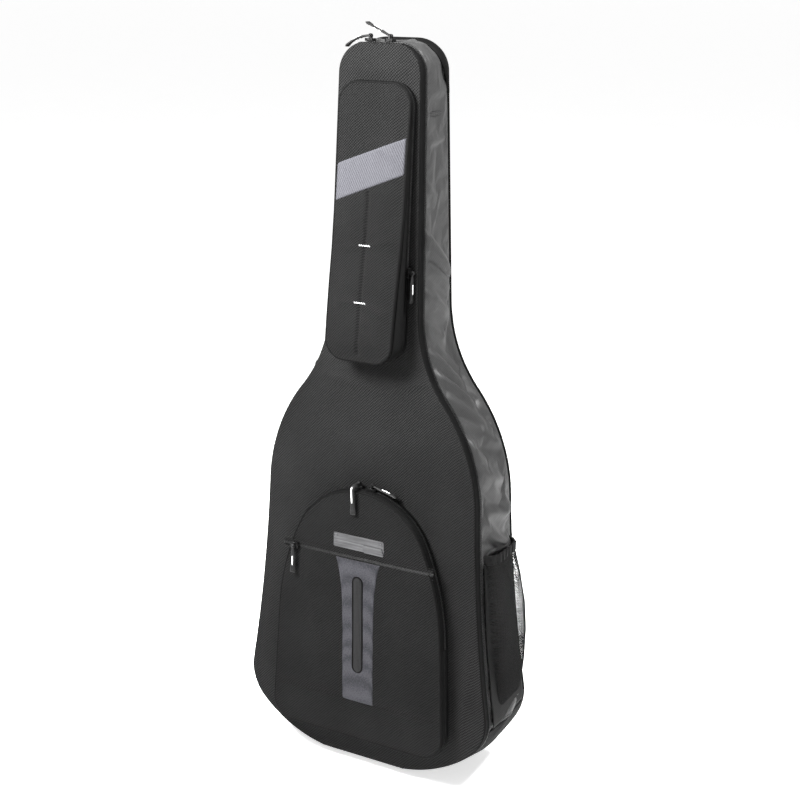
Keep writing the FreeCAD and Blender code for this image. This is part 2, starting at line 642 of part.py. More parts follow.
def make_draped_pull(label, place):
    """The same pull, curved so that it lies over the corner of the head."""
    body = new_body(label, place)
    barrel(body)
    half, radius, start = size("pull_thick") / 2, size("pull_drape"), size("barrel_hole") + 0.5
    first, last = math.asin(start / radius), size("pull_length") / radius
    centre, axis = Vector(-radius, 0, 0), Vector(0, 0, 1)
    arcs = [Part.ArcOfCircle(Part.Circle(centre, axis, radius + rise), -last, -first) for rise in (-half, half)]
    band = arcs + [Part.LineSegment(arcs[0].StartPoint, arcs[1].StartPoint),
                   Part.LineSegment(arcs[0].EndPoint, arcs[1].EndPoint)]
    pad(body, "YZ_Plane", band, "0", "dims.pull_width", midplane=True)


def on_front(x, depth, height, rotation=Rotation()):
    """Placement in the leaning front's frame."""
    return FRONT.multiply(Placement(Vector(x, depth, height), rotation))


def on_arch(centre_x, centre_z, radius, depth, clockwise):
    """Frame on an arch at an angle from its top: X along the arch, Z out of it."""
    turn = Rotation(Vector(0, 1, 0), clockwise)
    out = turn.multVec(Vector(0, 0, radius))
    return on_front(centre_x + out.x, depth, centre_z + out.z, turn)


def out_of(frame):
    """The pull's eye above a slider's frame."""
    return frame.multiply(Placement(Vector(0, 0, size("pivot_height")), Rotation()))


def turned(frame, axis, degrees):
    return frame.multiply(Placement(Vector(), Rotation(axis, degrees)))


def make_zip_hardware():
    across, along, up = Vector(0, 1, 0), Vector(1, 0, 0), Vector(0, 0, 1)
    quarter = 90
    # Main zip: both sliders rest on the flat top of the head, over the meeting of cover and shell.
    # The left pull lies over the corner; the right one is sprung up over the left slider.
    top = size("height") / math.cos(LEAN) + 0.3
    mouth = size("lid_depth")
    left = on_front(-BAG_FRONT.half_top, mouth, top)
    right = on_front(size("right_slider_reach"), mouth, top)
    make_slider("main_slider_left", left, False)
    make_slider("main_slider_right", right, False)
    lift = 25
    make_draped_pull("main_pull_left", turned(turned(out_of(left), across, quarter), up, quarter))
    make_pull("main_pull_right", turned(turned(out_of(right), across, quarter + lift), up, quarter))

    # Neck pocket: one slider low on the right side, its pull hanging.
    fold = size("neck_fold")
    corner_top = size("neck_pocket_bottom") + size("neck_pocket_corner")
    taper = size("neck_pocket_taper")
    side = size("neck_pocket_half_base") + size("neck_pocket_corner")
    side += (fold - corner_top) * math.tan(math.radians(taper))
    tape = side + size("chain_thick") + 0.2
    facing = Rotation(across, quarter + taper)
    neck = on_front(tape, -size("neck_pocket_split"), fold, facing)
    make_slider("neck_slider", neck, False)
    eye = neck.multVec(Vector(0, 0, size("pivot_height")))
    make_pull("neck_pull", Placement(eye, FRONT.Rotation.multiply(Rotation(up, quarter))))

    # Body pocket: two sliders at the top of the arch.
    arch = size("body_pocket_arch") + size("chain_thick") + 0.2
    centre = size("body_pocket_top") - size("body_pocket_arch")
    depth = -size("body_pocket_split")
    left = on_arch(0, centre, arch, depth, -4.5)
    right = on_arch(0, centre, arch, depth, 6)
    make_slider("body_slider_left", left, True)
    make_slider("body_slider_right", right, False)
    make_bent_pull("body_pull_left", out_of(left))
    make_pull("body_pull_right", turned(turned(out_of(right), across, -quarter + 8), up, quarter))

    # Flat pocket: one slider at the left end of its zip, its pull hanging in front.
    surface = -size("body_pocket_depth") - size("chain_thick") - 0.2
    flat = on_front(-109, surface, size("flat_zip_height"), Rotation(along, quarter))
    make_slider("flat_slider", flat, True)
    eye = flat.multVec(Vector(0, 0, size("pivot_height")))
    make_pull("flat_pull", Placement(eye, FRONT.Rotation))


# ---------------------------------------------------------------- build and write

def build():
    make_back()
    make_sides()
    make_lining()
    make_sill()
    make_shell_zip()
    make_neck_rest()
    make_mesh_pocket()
    make_shoulder_straps()
    make_side_handle()
    make_anchor_patches()
    make_hang_loop()
    make_front_cover()
    make_pocket("body_pocket", BODY_POCKET, size("body_fold"))
    make_pocket("neck_pocket", NECK_POCKET, size("neck_fold"))
    make_trims()
    make_zip_hardware()
    doc.recompute()


def sub_parts():
    """Every object that stands for a piece: bodies, and top-level shapes with a plain label."""
    grouped = {member.Name for item in doc.Objects if item.TypeId == "Part::MultiFuse" for member in item.Shapes}
    grouped.add("patch_blocks")
    kinds = ("PartDesign::Body", "Part::Box", "Part::MultiFuse", "Part::Feature")
    return [item for item in doc.Objects if item.TypeId in kinds and item.Name not in grouped]


def check():
    for item in doc.Objects:
        if "Invalid" in item.State or "Error" in item.State:
            raise SystemExit(f"{item.Name}: {item.State}")
    for item in sub_parts():
        if item.Shape.isNull() or not item.Shape.isValid() or not item.Shape.Solids:
            raise SystemExit(f"{item.Label} has no valid solid")


def write():
    os.makedirs("parts", exist_ok=True)
    for item in sub_parts():
        item.Shape.exportStep(f"parts/{item.Label}.step")
        print(f"{item.Label:24s} solids {len(item.Shape.Solids)}  volume {item.Shape.Volume / 1000:9.1f} cm3")


build()
check()
write()
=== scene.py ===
import math

import bpy
import numpy as np
from mathutils import Matrix, Vector


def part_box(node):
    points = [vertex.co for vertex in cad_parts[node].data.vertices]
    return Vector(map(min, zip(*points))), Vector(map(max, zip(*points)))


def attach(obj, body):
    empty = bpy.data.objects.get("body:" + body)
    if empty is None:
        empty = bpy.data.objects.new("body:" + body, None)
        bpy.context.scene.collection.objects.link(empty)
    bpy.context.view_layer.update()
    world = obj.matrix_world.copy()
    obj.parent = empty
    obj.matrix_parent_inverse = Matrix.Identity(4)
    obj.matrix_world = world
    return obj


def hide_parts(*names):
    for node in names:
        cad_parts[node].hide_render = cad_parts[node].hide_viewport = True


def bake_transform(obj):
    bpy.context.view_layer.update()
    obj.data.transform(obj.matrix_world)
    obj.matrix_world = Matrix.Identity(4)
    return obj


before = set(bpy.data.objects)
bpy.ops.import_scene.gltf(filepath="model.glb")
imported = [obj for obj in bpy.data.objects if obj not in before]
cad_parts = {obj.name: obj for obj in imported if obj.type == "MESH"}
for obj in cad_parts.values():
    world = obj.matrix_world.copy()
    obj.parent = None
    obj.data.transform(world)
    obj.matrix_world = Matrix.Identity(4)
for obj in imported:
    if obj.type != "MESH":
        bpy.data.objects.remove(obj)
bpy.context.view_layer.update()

# A padded gig bag, standing on its base. Metres, +Z up, the front faces -Y.
# Outlines are (x, height) pairs; the front cover leans back, so everything on it is placed by
# (x, depth, height) in the cover's own frame, where depth is positive inside the bag.

MM = 0.001
HALF_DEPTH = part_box("back_cover")[1].y
LEAN = math.radians(3.36)
HEIGHT = 1080 * MM
FRONT_HEIGHT = HEIGHT / math.cos(LEAN)
# Heights, on the cover, of its own fold and of the folds of the two pocket flaps.
COVER_FOLD, BODY_FOLD, NECK_FOLD = 52 * MM, 234 * MM, 773 * MM
# Each fold: the body below it, the body above it and its height.
BODY_BEND = ("front_cover", "body_flap", BODY_FOLD)
NECK_BEND = ("front_cover", "neck_flap", NECK_FOLD)
ZIP_END = 60 * MM       # height at which the main zip stops
MOUTH = 14 * MM         # how far behind the cover's face the main zip's two halves meet
BODY_DEPTH, BODY_SPLIT = 27 * MM, 13 * MM     # how far a pocket and its zip stand off the cover
NECK_SPLIT = 6 * MM
NECK_TAPER = 0.6        # degrees by which each side of the neck pocket leans in
FLAT_ZIP = 347 * MM
SEAM_LOW = 119 * MM
GUARD_TOP = 108 * MM
FORWARD = (0, -1, 0)


def mm(*values):
    return [v * MM for v in values]


# ---------------------------------------------------------------- outlines

def right_of(heading):
    return np.array([math.sin(heading), -math.cos(heading)])


class Outline:
    """A mirror-symmetric outline of tangent runs and arcs from bottom centre to top centre.

    moves are ("run", length) and ("turn", radius, degrees); one run's length may be None, and it is
    then as long as the top needs. Points come with their outward normals.
    """

    def __init__(self, bottom, top, moves):
        self.moves = moves
        heading = self.walk(bottom, 0.0)
        self.walk(bottom, (top - self.end[1]) / math.sin(heading))
        if self.end[0] > 1e-6:
            self.pieces.append(("run", self.end, math.pi, self.end[0]))

    def walk(self, bottom, free_length):
        place, heading, free_heading = np.array([0.0, bottom]), 0.0, math.pi / 2
        self.pieces = []
        for move in self.moves:
            if move[0] == "run":
                length = free_length if move[1] is None else move[1]
                free_heading = heading if move[1] is None else free_heading
                self.pieces.append(("run", place, heading, length))
                place = place + np.array([math.cos(heading), math.sin(heading)]) * length
            else:
                radius, turn = move[1], math.radians(move[2])
                bulge = math.copysign(1, turn)
                centre = place - right_of(heading) * radius * bulge
                self.pieces.append(("turn", centre, radius * bulge, heading, heading + turn))
                heading += turn
                place = centre + right_of(heading) * radius * bulge
        self.end = place
        return free_heading

    def half(self, step):
        """Points and normals up the right half, at most step apart."""
        points, normals = [], []
        for piece in self.pieces:
            if piece[0] == "run":
                _, start, heading, length = piece
                count = max(1, round(length / step))
                along = np.array([math.cos(heading), math.sin(heading)])
                for i in range(count):
                    points.append(start + along * length * i / count)
                    normals.append(right_of(heading))
            else:
                _, centre, radius, before, after = piece
                count = max(3, round(abs(radius * (after - before)) / step))
                for i in range(count):
                    heading = before + (after - before) * i / count
                    points.append(centre + right_of(heading) * radius)
                    normals.append(right_of(heading))
        top = self.pieces[-1]
        points.append(np.array([0.0, top[1][1] if top[0] == "run" else top[1][1] + top[2]]))
        normals.append(np.array([0.0, 1.0]))
        return np.array(points), np.array(normals)

    def loop(self, step):
        """The whole closed outline, anticlockwise as seen from the front, from bottom centre."""
        points, normals = self.half(step)
        mirror = np.array([-1.0, 1.0])
        return (np.vstack([points, points[-2:0:-1] * mirror]),
                np.vstack([normals, normals[-2:0:-1] * mirror]))

    def rows(self, step):
        """Half-width and height of each row of a panel, from its lowest to its highest edge."""
        points, _ = self.half(step)
        keep = [0]
        for i in range(1, len(points)):
            if points[i][1] > points[keep[-1]][1] + 1e-6:
                keep.append(i)
        # The lowest row is the end of the flat base, not its middle.
        flat = [i for i in range(len(points) // 2) if points[i][1] < points[0][1] + 1e-6]
        keep[0] = flat[-1]
        return points[keep]


def bag_moves(base, bout):
    return [("run", 45 * MM), ("turn", base * MM, 43), ("turn", bout * MM, 56), ("turn", 2475 * MM, -7.1),
            ("turn", 257 * MM, 36.9), ("turn", 207 * MM, -37.4), ("run", None), ("turn", 42 * MM, 88.6)]


BAG = Outline(0, HEIGHT, bag_moves(195, 88))
# The front of the base is rounded up off the ground, so the cover starts a little higher.
FRONT = Outline(13 * MM, FRONT_HEIGHT, bag_moves(202.6, 71))
NECK = Outline(645 * MM, 1030 * MM, [("run", 25 * MM), ("turn", 29 * MM, 90 - NECK_TAPER), ("run", None),
                                     ("turn", 32 * MM, 90 + NECK_TAPER)])


def body_pocket_outline():
    """The arch is centred on the middle line, so the base run is what is left over."""
    def moves(base):
        return [("run", base), ("turn", 35 * MM, 93), ("run", None),
                ("turn", 379 * MM, 22), ("turn", 115 * MM, 65)]

    low, high, guess = 57 * MM, 449 * MM, 112 * MM
    return Outline(low, high, moves(guess - Outline(low, high, moves(guess)).end[0]))


BODY = body_pocket_outline()


def on_front(points):
    """(x, depth, height) on the leaning cover, as an array, to row-frame places."""
    points = np.asarray(points, float)
    x, depth, height = points[..., 0], points[..., 1], points[..., 2]
    y = -HALF_DEPTH + height * math.sin(LEAN) + depth * math.cos(LEAN)
    z = height * math.cos(LEAN) - depth * math.sin(LEAN)
    return np.stack([x, y, z], axis=-1)


# ---------------------------------------------------------------- shape helpers

def value_noise(u, v, wavelength, seed):
    """Smooth noise from -1 to 1 over two coordinates."""
    lattice = np.random.default_rng(seed).uniform(-1, 1, (64, 64))
    a, b = u / wavelength + 31.4, v / wavelength + 17.3
    i, j = np.floor(a).astype(int), np.floor(b).astype(int)
    s, t = a - i, b - j
    s, t = s * s * (3 - 2 * s), t * t * (3 - 2 * t)
    corner = [lattice[(i + di) % 64, (j + dj) % 64] for di in (0, 1) for dj in (0, 1)]
    return (corner[0] * (1 - s) + corner[2] * s) * (1 - t) + (corner[1] * (1 - s) + corner[3] * s) * t


def creases(u, v, lines):
    """Sum of soft folds, each (u0, v0, u1, v1, half width, height), fading at both ends."""
    total = np.zeros_like(u)
    for u0, v0, u1, v1, width, height in lines:
        along = np.array([u1 - u0, v1 - v0])
        length = np.hypot(*along)
        along = along / length
        t = (u - u0) * along[0] + (v - v0) * along[1]
        across = np.abs(-(u - u0) * along[1] + (v - v0) * along[0])
        fade = np.sin(np.pi * np.clip(t / length, 0, 1)) ** 0.7
        total += height * fade * np.exp(-(across / width) ** 2)
    return total


def edge_distance(u, v, loop):
    """Distance of each point to an outline's points."""
    flat = np.stack([u.ravel(), v.ravel()], axis=1)
    best = np.full(len(flat), 9.0)
    for start in range(0, len(loop), 64):
        part = loop[start:start + 64]
        gap = np.hypot(flat[:, None, 0] - part[None, :, 0], flat[:, None, 1] - part[None, :, 1])
        best = np.minimum(best, gap.min(axis=1))
    return best.reshape(u.shape)


def smooth_step(value, low, high):
    t = np.clip((value - low) / (high - low), 0, 1)
    return t * t * (3 - 2 * t)


def make_object(name, vertices, faces, material, smooth=True):
    mesh = bpy.data.meshes.new(name)
    mesh.from_pydata([tuple(v) for v in vertices], [], [tuple(f) for f in faces])
    mesh.update()
    mesh.polygons.foreach_set("use_smooth", [smooth] * len(mesh.polygons))
    mesh.materials.append(material)
    piece = bpy.data.objects.new(name, mesh)
    bpy.context.scene.collection.objects.link(piece)
    return piece


def grid_faces(rows, columns, wrap_rows=False, wrap_columns=False, flip=False):
    faces = []
    for i in range(rows if wrap_rows else rows - 1):
        for j in range(columns if wrap_columns else columns - 1):
            a, b = i * columns + j, i * columns + (j + 1) % columns
            c, d = ((i + 1) % rows) * columns + (j + 1) % columns, ((i + 1) % rows) * columns + j
            faces.append((a, d, c, b) if flip else (a, b, c, d))
    return faces


def capped_faces(rows, columns, flip=False):
    """Faces of a tube of closed rings, with a cap at each end."""
    low, high = tuple(range(columns)), tuple(range((rows - 1) * columns, rows * columns))
    caps = [low, high[::-1]] if flip else [low[::-1], high]
    return grid_faces(rows, columns, False, True, flip) + caps


def grid(name, places, material, wrap_rows=False, flip=False):
    """Smooth quad sheet from an array of places, rows by columns by 3."""
    rows, columns = places.shape[:2]
    return make_object(name, places.reshape(-1, 3), grid_faces(rows, columns, wrap_rows, flip=flip), material)


def thicken(piece, thickness, offset=-1.0):
    """Gives a sheet its real thickness; offset -1 keeps the outer face where it is."""
    bpy.context.view_layer.objects.active = piece
    modifier = piece.modifiers.new("thickness", "SOLIDIFY")
    modifier.thickness = thickness
    modifier.offset = offset
    modifier.use_even_offset = False


def apply_modifiers(piece):
    bpy.context.view_layer.update()
    graph = bpy.context.evaluated_depsgraph_get()
    mesh = bpy.data.meshes.new_from_object(piece.evaluated_get(graph))
    piece.modifiers.clear()
    piece.data = mesh


def frames_along(path, closed, hint):
    """Tangent and two cross directions at each point of a path; the first stays near the hint."""
    after = np.roll(path, -1, axis=0)
    before = np.roll(path, 1, axis=0)
    if not closed:
        after[-1], before[0] = path[-1], path[0]
    tangent = after - before
    tangent /= np.linalg.norm(tangent, axis=1)[:, None]
    hint = np.broadcast_to(np.asarray(hint, float), path.shape)
    side = hint - tangent * (hint * tangent).sum(axis=1)[:, None]
    side /= np.linalg.norm(side, axis=1)[:, None]
    return tangent, side, np.cross(tangent, side)


def sweep(name, path, section, material, closed=False, hint=(0, 1, 0), scale=None):
    """Sweeps a closed section of (side, other) pairs along a path, capping open ends."""
    path = np.asarray(path, float)
    section = np.asarray(section, float)
    _, side, other = frames_along(path, closed, hint)
    scale = np.ones((len(path), 2)) if scale is None else np.asarray(scale, float)
    if scale.ndim == 1:
        scale = np.stack([scale, scale], axis=1)
    places = (path[:, None, :]
              + side[:, None, :] * (section[None, :, 0] * scale[:, 0:1])[..., None]
              + other[:, None, :] * (section[None, :, 1] * scale[:, 1:2])[..., None])
    rows, columns = places.shape[:2]
    faces = grid_faces(rows, columns, True, True, True) if closed else capped_faces(rows, columns, True)
    return make_object(name, places.reshape(-1, 3), faces, material)


def circle(radius, count=10):
    return [(radius * math.cos(a), radius * math.sin(a)) for a in np.arange(count) * 2 * math.pi / count]


def rounded_bar(width, thickness, corner=0.35):
    """Section of a flat strap: a rectangle with rounded corners."""
    half_w, half_t = width / 2, thickness / 2
    r = min(half_w, half_t) * corner * 2
    points = []
    for cx, cy, start in ((half_w - r, half_t - r, 0), (-half_w + r, half_t - r, 90),
                          (-half_w + r, -half_t + r, 180), (half_w - r, -half_t + r, 270)):
        for turn in (0, 45, 90):
            angle = math.radians(start + turn)
            points.append((cx + r * math.cos(angle), cy + r * math.sin(angle)))
    return points


def smooth_path(points, per_span=8, closed=False):
    """Catmull-Rom curve through given points."""
    points = np.asarray(points, float)
    if closed:
        padded = np.vstack([points[-1:], points, points[:2]])
    else:
        padded = np.vstack([2 * points[:1] - points[1:2], points, 2 * points[-1:] - points[-2:-1]])
    curve = []
    for i in range(1, len(padded) - 2):
        p0, p1, p2, p3 = padded[i - 1:i + 3]
        for t in np.arange(per_span) / per_span:
            curve.append(0.5 * (2 * p1 + (p2 - p0) * t + (2 * p0 - 5 * p1 + 4 * p2 - p3) * t**2
                                + (3 * p1 - p0 - 3 * p2 + p3) * t**3))
    if not closed:
        curve.append(padded[-2])
    return np.array(curve)


def even_steps(path, step, closed=False):
    """Points every step along a path, with the direction of travel at each."""
    path = np.asarray(path, float)
    if closed:
        path = np.vstack([path, path[:1]])
    lengths = np.linalg.norm(np.diff(path, axis=0), axis=1)
    run = np.concatenate([[0], np.cumsum(lengths)])
    count = max(1, int(run[-1] / step))
    at = (np.arange(count) + 0.5) * run[-1] / count
    places = np.stack([np.interp(at, run, path[:, k]) for k in range(3)], axis=1)
    ahead = np.stack([np.interp(at + 1e-4, run, path[:, k]) for k in range(3)], axis=1)
    behind = np.stack([np.interp(at - 1e-4, run, path[:, k]) for k in range(3)], axis=1)
    way = ahead - behind
    return places, way / np.linalg.norm(way, axis=1)[:, None]


def stamped(name, places, ways, outs, vertices, faces, material, smooth=True):
    """One object with a small shape repeated: its X along each way, its Z along each out."""
    vertices = np.asarray(vertices, float)
    outs = np.broadcast_to(np.asarray(outs, float), places.shape)
    outs = outs - ways * (outs * ways).sum(axis=1)[:, None]
    outs /= np.linalg.norm(outs, axis=1)[:, None]
    across = np.cross(outs, ways)
    all_vertices = (places[:, None, :] + ways[:, None, :] * vertices[None, :, 0:1]
                    + across[:, None, :] * vertices[None, :, 1:2] + outs[:, None, :] * vertices[None, :, 2:3])
    all_faces = [tuple(i * len(vertices) + k for k in face) for i in range(len(places)) for face in faces]
    return make_object(name, all_vertices.reshape(-1, 3), all_faces, material, smooth)


def thread_shape(length, radius):
    """A stitch: a short thread that dips into the cloth at both ends."""
    vertices, sides = [], 5
    for x, lift, size in ((-0.5, -1.0, 0.5), (-0.3, 0.15, 1), (0, 0.45, 1), (0.3, 0.15, 1), (0.5, -1.0, 0.5)):
        for k in range(sides):
            angle = 2 * math.pi * k / sides
            vertices.append((x * length, radius * size * math.cos(angle),
                             radius * (lift + size * math.sin(angle))))
    return vertices, capped_faces(5, sides, True)


def stitches(name, path, out, material, closed=False, length=3.4 * MM, pitch=4.6 * MM, radius=0.42 * MM):
    places, ways = even_steps(path, pitch, closed)
    return stamped(name, places, ways, out, *thread_shape(length, radius), material)


# ---------------------------------------------------------------- materials

class Nodes:
    """Short way to wire a material's nodes."""

    def __init__(self, name):
        self.material = bpy.data.materials.new(name)
        self.material.use_nodes = True
        self.tree = self.material.node_tree
        self.shader = self.tree.nodes["Principled BSDF"]
        self.place = self.add("ShaderNodeTexCoord").outputs["Object"]

    def add(self, kind, **settings):
        node = self.tree.nodes.new(kind)
        for key, value in settings.items():
            setattr(node, key, value)
        return node

    def link(self, output, socket):
        self.tree.links.new(output, socket)

    def textured(self, kind, vector, sockets, **settings):
        """A node fed with places, with numbers set on its other sockets."""
        node = self.add(kind, **settings)
        for socket, value in sockets.items():
            node.inputs[socket].default_value = value
        self.link(vector or self.place, node.inputs["Vector"])
        return node.outputs

    def mapped(self, scale=(1, 1, 1), turn=(0, 0, 0)):
        angles = [math.radians(a) for a in turn]
        return self.textured("ShaderNodeMapping", None, {"Scale": scale, "Rotation": angles})["Vector"]

    def noise(self, scale, detail, vector=None):
        return self.textured("ShaderNodeTexNoise", vector, {"Scale": scale, "Detail": detail})["Fac"]

    def wave(self, pitch, vector, direction, distortion):
        """Bands one pitch apart: a wave texture's band repeats every 2 pi / 20 units at scale 1."""
        sockets = {"Scale": 2 * math.pi / 20 / pitch, "Distortion": distortion,
                   "Detail": 1.0, "Detail Scale": 1.5}
        return self.textured("ShaderNodeTexWave", vector, sockets, wave_type="BANDS",
                             bands_direction=direction)["Fac"]

    def math(self, operation, a, b):
        node = self.add("ShaderNodeMath", operation=operation)
        for socket, value in zip(node.inputs, (a, b)):
            if isinstance(value, (int, float)):
                socket.default_value = value
            else:
                self.link(value, socket)
        return node.outputs[0]

    def scaled(self, value, factor, offset):
        return self.math("ADD", self.math("MULTIPLY", value, factor), offset)

    def woven(self, ribs, rib_share, yarn):
        """Height of a cloth: ribs over a flat ground, broken up by the yarn's grain."""
        return self.math("MULTIPLY", self.scaled(ribs, rib_share, 1 - rib_share), self.math("ADD", yarn, 0.5))

    def ramp(self, fac, low, dark, high, light):
        """A colour that runs from dark to light; either is a colour or one grey level."""
        node = self.add("ShaderNodeValToRGB")
        for element, position, colour in zip(node.color_ramp.elements, (low, high), (dark, light)):
            element.position = position
            element.color = (*(colour if isinstance(colour, tuple) else (colour,) * 3), 1.0)
        self.link(fac, node.inputs["Fac"])
        return node.outputs["Color"]

    def tinted(self, a, b):
        """One colour multiplied by another."""
        node = self.add("ShaderNodeMix", data_type="RGBA", blend_type="MULTIPLY")
        node.inputs[0].default_value = 1.0
        self.link(a, node.inputs[6])
        self.link(b, node.inputs[7])
        return node.outputs[2]

    def bump(self, height, strength, distance):
        node = self.add("ShaderNodeBump")
        node.inputs["Strength"].default_value = strength
        node.inputs["Distance"].default_value = distance
        self.link(height, node.inputs["Height"])
        return node.outputs["Normal"]

    def finish(self, colour, normal, rough, **constants):
        """Roughness is a number or a socket; the other constants are set on the shader's own sockets."""
        shader = self.shader.inputs
        self.link(colour, shader["Base Color"])
        if normal:
            self.link(normal, shader["Normal"])
        if isinstance(rough, float):
            shader["Roughness"].default_value = rough
        else:
            self.link(rough, shader["Roughness"])
        for key, value in constants.items():
            shader[key.replace("_", " ").title().replace("Ior", "IOR")].default_value = value
        return self.material


def ribbed_cloth(name, dark, light, pitch=3.8 * MM):
    """Heavy nylon: two crossing sets of diagonal ribs that leave a dotted weave, with uneven dye."""
    n = Nodes(name)
    ribs = n.wave(pitch, n.mapped(turn=(0, 90, 0)), "DIAGONAL", 1.2)
    weft = n.wave(pitch * 0.86, None, "DIAGONAL", 0.8)
    yarn = n.noise(1 / (1.6 * MM), 1.0)
    cloth = n.math("MULTIPLY", n.math("ADD", n.math("MULTIPLY", ribs, 0.55), n.math("MULTIPLY", weft, 0.45)),
                   n.scaled(yarn, 0.9, 0.5))
    colour = n.tinted(n.ramp(cloth, 0.12, dark, 0.85, light), n.ramp(n.noise(9.0, 3.0), 0.3, 0.82, 0.7, 1.12))
    return n.finish(colour, n.bump(cloth, 0.55, 0.6 * MM), n.scaled(yarn, 0.16, 0.67),
                    specular_ior_level=0.02)


def satin_cloth(name, dark, light, roughness, sheen, shine):
    """Light satin nylon: a close fine twill with long soft streaks."""
    n = Nodes(name)
    twill = n.wave(1.9 * MM, None, "DIAGONAL", 0.8)
    yarn = n.noise(1 / (1.3 * MM), 1.0)
    cloth = n.woven(twill, 0.6, yarn)
    streak = n.noise(14.0, 3.0, n.mapped(scale=(1, 1, 0.25)))
    colour = n.tinted(n.ramp(cloth, 0.2, dark, 0.9, light), n.ramp(streak, 0.3, 0.86, 0.7, 1.1))
    return n.finish(colour, n.bump(cloth, 0.4, 0.3 * MM), n.scaled(yarn, 0.2, roughness - 0.1),
                    sheen_weight=sheen, sheen_roughness=0.35, specular_ior_level=shine)


def grosgrain(name, dark, light, pitch, direction, roughness):
    """Bound tape, piping or webbing: close ribs over a fine yarn grain."""
    n = Nodes(name)
    cloth = n.woven(n.wave(pitch, None, direction, 0.4), 0.5, n.noise(1 / (1.0 * MM), 1.0))
    colour = n.tinted(n.ramp(cloth, 0.2, dark, 0.9, light), n.ramp(n.noise(25.0, 2.0), 0.3, 0.85, 0.7, 1.15))
    return n.finish(colour, n.bump(cloth, 0.45, 0.3 * MM), roughness, specular_ior_level=0.03)


def dotted_mesh(name, dark, light):
    """Spacer mesh: a close net of raised dots over a darker ground."""
    n = Nodes(name)
    dots = n.textured("ShaderNodeTexVoronoi", None, {"Scale": 1 / (1.9 * MM), "Randomness": 0.25},
                      feature="F1")["Distance"]
    colour = n.tinted(n.ramp(dots, 0.15, light, 0.62, dark), n.ramp(n.noise(18.0, 2.0), 0.3, 0.9, 0.7, 1.08))
    return n.finish(colour, n.bump(n.math("SUBTRACT", 1.0, dots), 0.5, 0.35 * MM), 0.7,
                    specular_ior_level=0.06)


def ribbed_band(name, dark, light, pitch=2.3 * MM, slant=0):
    """Grey accent cloth with close slanting cords."""
    n = Nodes(name)
    cords = n.wave(pitch, n.mapped(turn=(0, slant, 0)), "X", 0.0)
    cloth = n.woven(cords, 0.55, n.noise(1 / (1.2 * MM), 1.0))
    return n.finish(n.ramp(cloth, 0.15, dark, 0.85, light), n.bump(cloth, 0.5, 0.4 * MM), 0.65,
                    specular_ior_level=0.08)


def moulded(name, dark, light, roughness, metallic=0.0):
    """Moulded rubber or plastic: fine grain and lighter worn spots."""
    n = Nodes(name)
    grain = n.noise(1 / (0.7 * MM), 3.0)
    colour = n.ramp(n.noise(60.0, 3.0), 0.35, dark, 0.75, light)
    return n.finish(colour, n.bump(grain, 0.2, 0.1 * MM), n.scaled(grain, 0.25, roughness - 0.12),
                    metallic=metallic, specular_ior_level=0.15)


def brushed_metal(name):
    """Brushed aluminium: streaks along X with faint scuffs."""
    n = Nodes(name)
    streaks = n.noise(420.0, 3.0, n.mapped(scale=(0.04, 1, 1)))
    colour = n.tinted(n.ramp(streaks, 0.3, (0.07, 0.07, 0.072), 0.7, (0.15, 0.15, 0.154)),
                      n.ramp(n.noise(70.0, 4.0), 0.35, 0.85, 0.65, 1.0))
    return n.finish(colour, n.bump(streaks, 0.12, 0.1 * MM), n.scaled(streaks, 0.2, 0.24), metallic=1.0)


def open_net(name):
    """Knitted net yarn."""
    n = Nodes(name)
    yarn = n.noise(1 / (0.8 * MM), 2.0)
    return n.finish(n.ramp(yarn, 0.3, 0.006, 0.7, 0.020), n.bump(yarn, 0.3, 0.1 * MM), 0.7,
                    specular_ior_level=0.04)


def brushed_lining(name, dark, light):
    """Soft brushed lining with a short pile."""
    n = Nodes(name)
    pile = n.noise(1 / (2.2 * MM), 4.0)
    colour = n.tinted(n.ramp(pile, 0.3, dark, 0.75, light), n.ramp(n.noise(16.0, 3.0), 0.35, 0.8, 0.65, 1.15))
    return n.finish(colour, n.bump(pile, 0.6, 0.6 * MM), 0.85, sheen_weight=0.2, sheen_roughness=0.5)


CLOTH = ribbed_cloth("front_cloth", 0.002, 0.022, 2.3 * MM)
# The pocket faces are the front cloth made darker: painted shade for the dimmer lower front.
POCKET_CLOTH = ribbed_cloth("pocket_cloth", 0.002, 0.016, 2.3 * MM)
BACK_CLOTH = ribbed_cloth("back_cloth", 0.005, 0.042)
SIDE_CLOTH = satin_cloth("side_cloth", 0.006, 0.027, 0.52, 0.05, 0.3)
# The base panel's satin is darker than the side's: painted shade low on the bag.
BASE_CLOTH = satin_cloth("base_cloth", 0.004, 0.014, 0.7, 0.0, 0.03)
# Near-black satin of the pocket walls; where it backs the mesh pocket's net its darkness is painted shade.
GUSSET_CLOTH = satin_cloth("pocket_side_cloth", 0.002, 0.006, 0.6, 0.0, 0.05)
PIPING = grosgrain("piping_tape", 0.0015, 0.005, 1.2 * MM, "DIAGONAL", 0.6)
TAPE = grosgrain("zip_tape_cloth", 0.0015, 0.004, 1.1 * MM, "Z", 0.7)
WEBBING = grosgrain("webbing_weave", 0.010, 0.040, 2.0 * MM, "Z", 0.6)
BINDING = grosgrain("elastic_binding", 0.004, 0.013, 1.4 * MM, "Y", 0.6)
COIL = moulded("zip_coil", 0.005, 0.014, 0.35)
THREAD = moulded("sewing_thread", 0.006, 0.018, 0.55)
PALE_THREAD = moulded("pale_thread", 0.50, 0.66, 0.6)
STRIPE_CLOTH = dotted_mesh("grey_spacer_mesh", (0.020, 0.020, 0.023), (0.058, 0.058, 0.065))
INSERT = ribbed_band("slot_insert_rib", (0.003, 0.003, 0.003), (0.016, 0.016, 0.0165))
BAND_CLOTH = ribbed_band("grey_band_cord", (0.020, 0.020, 0.023), (0.066, 0.066, 0.074), 3.2 * MM, 30)
NET = open_net("knitted_net")
LINING = brushed_lining("brushed_lining", 0.014, 0.045)
STRAP_CLOTH = ribbed_cloth("strap_cloth", 0.005, 0.032, 2.8 * MM)
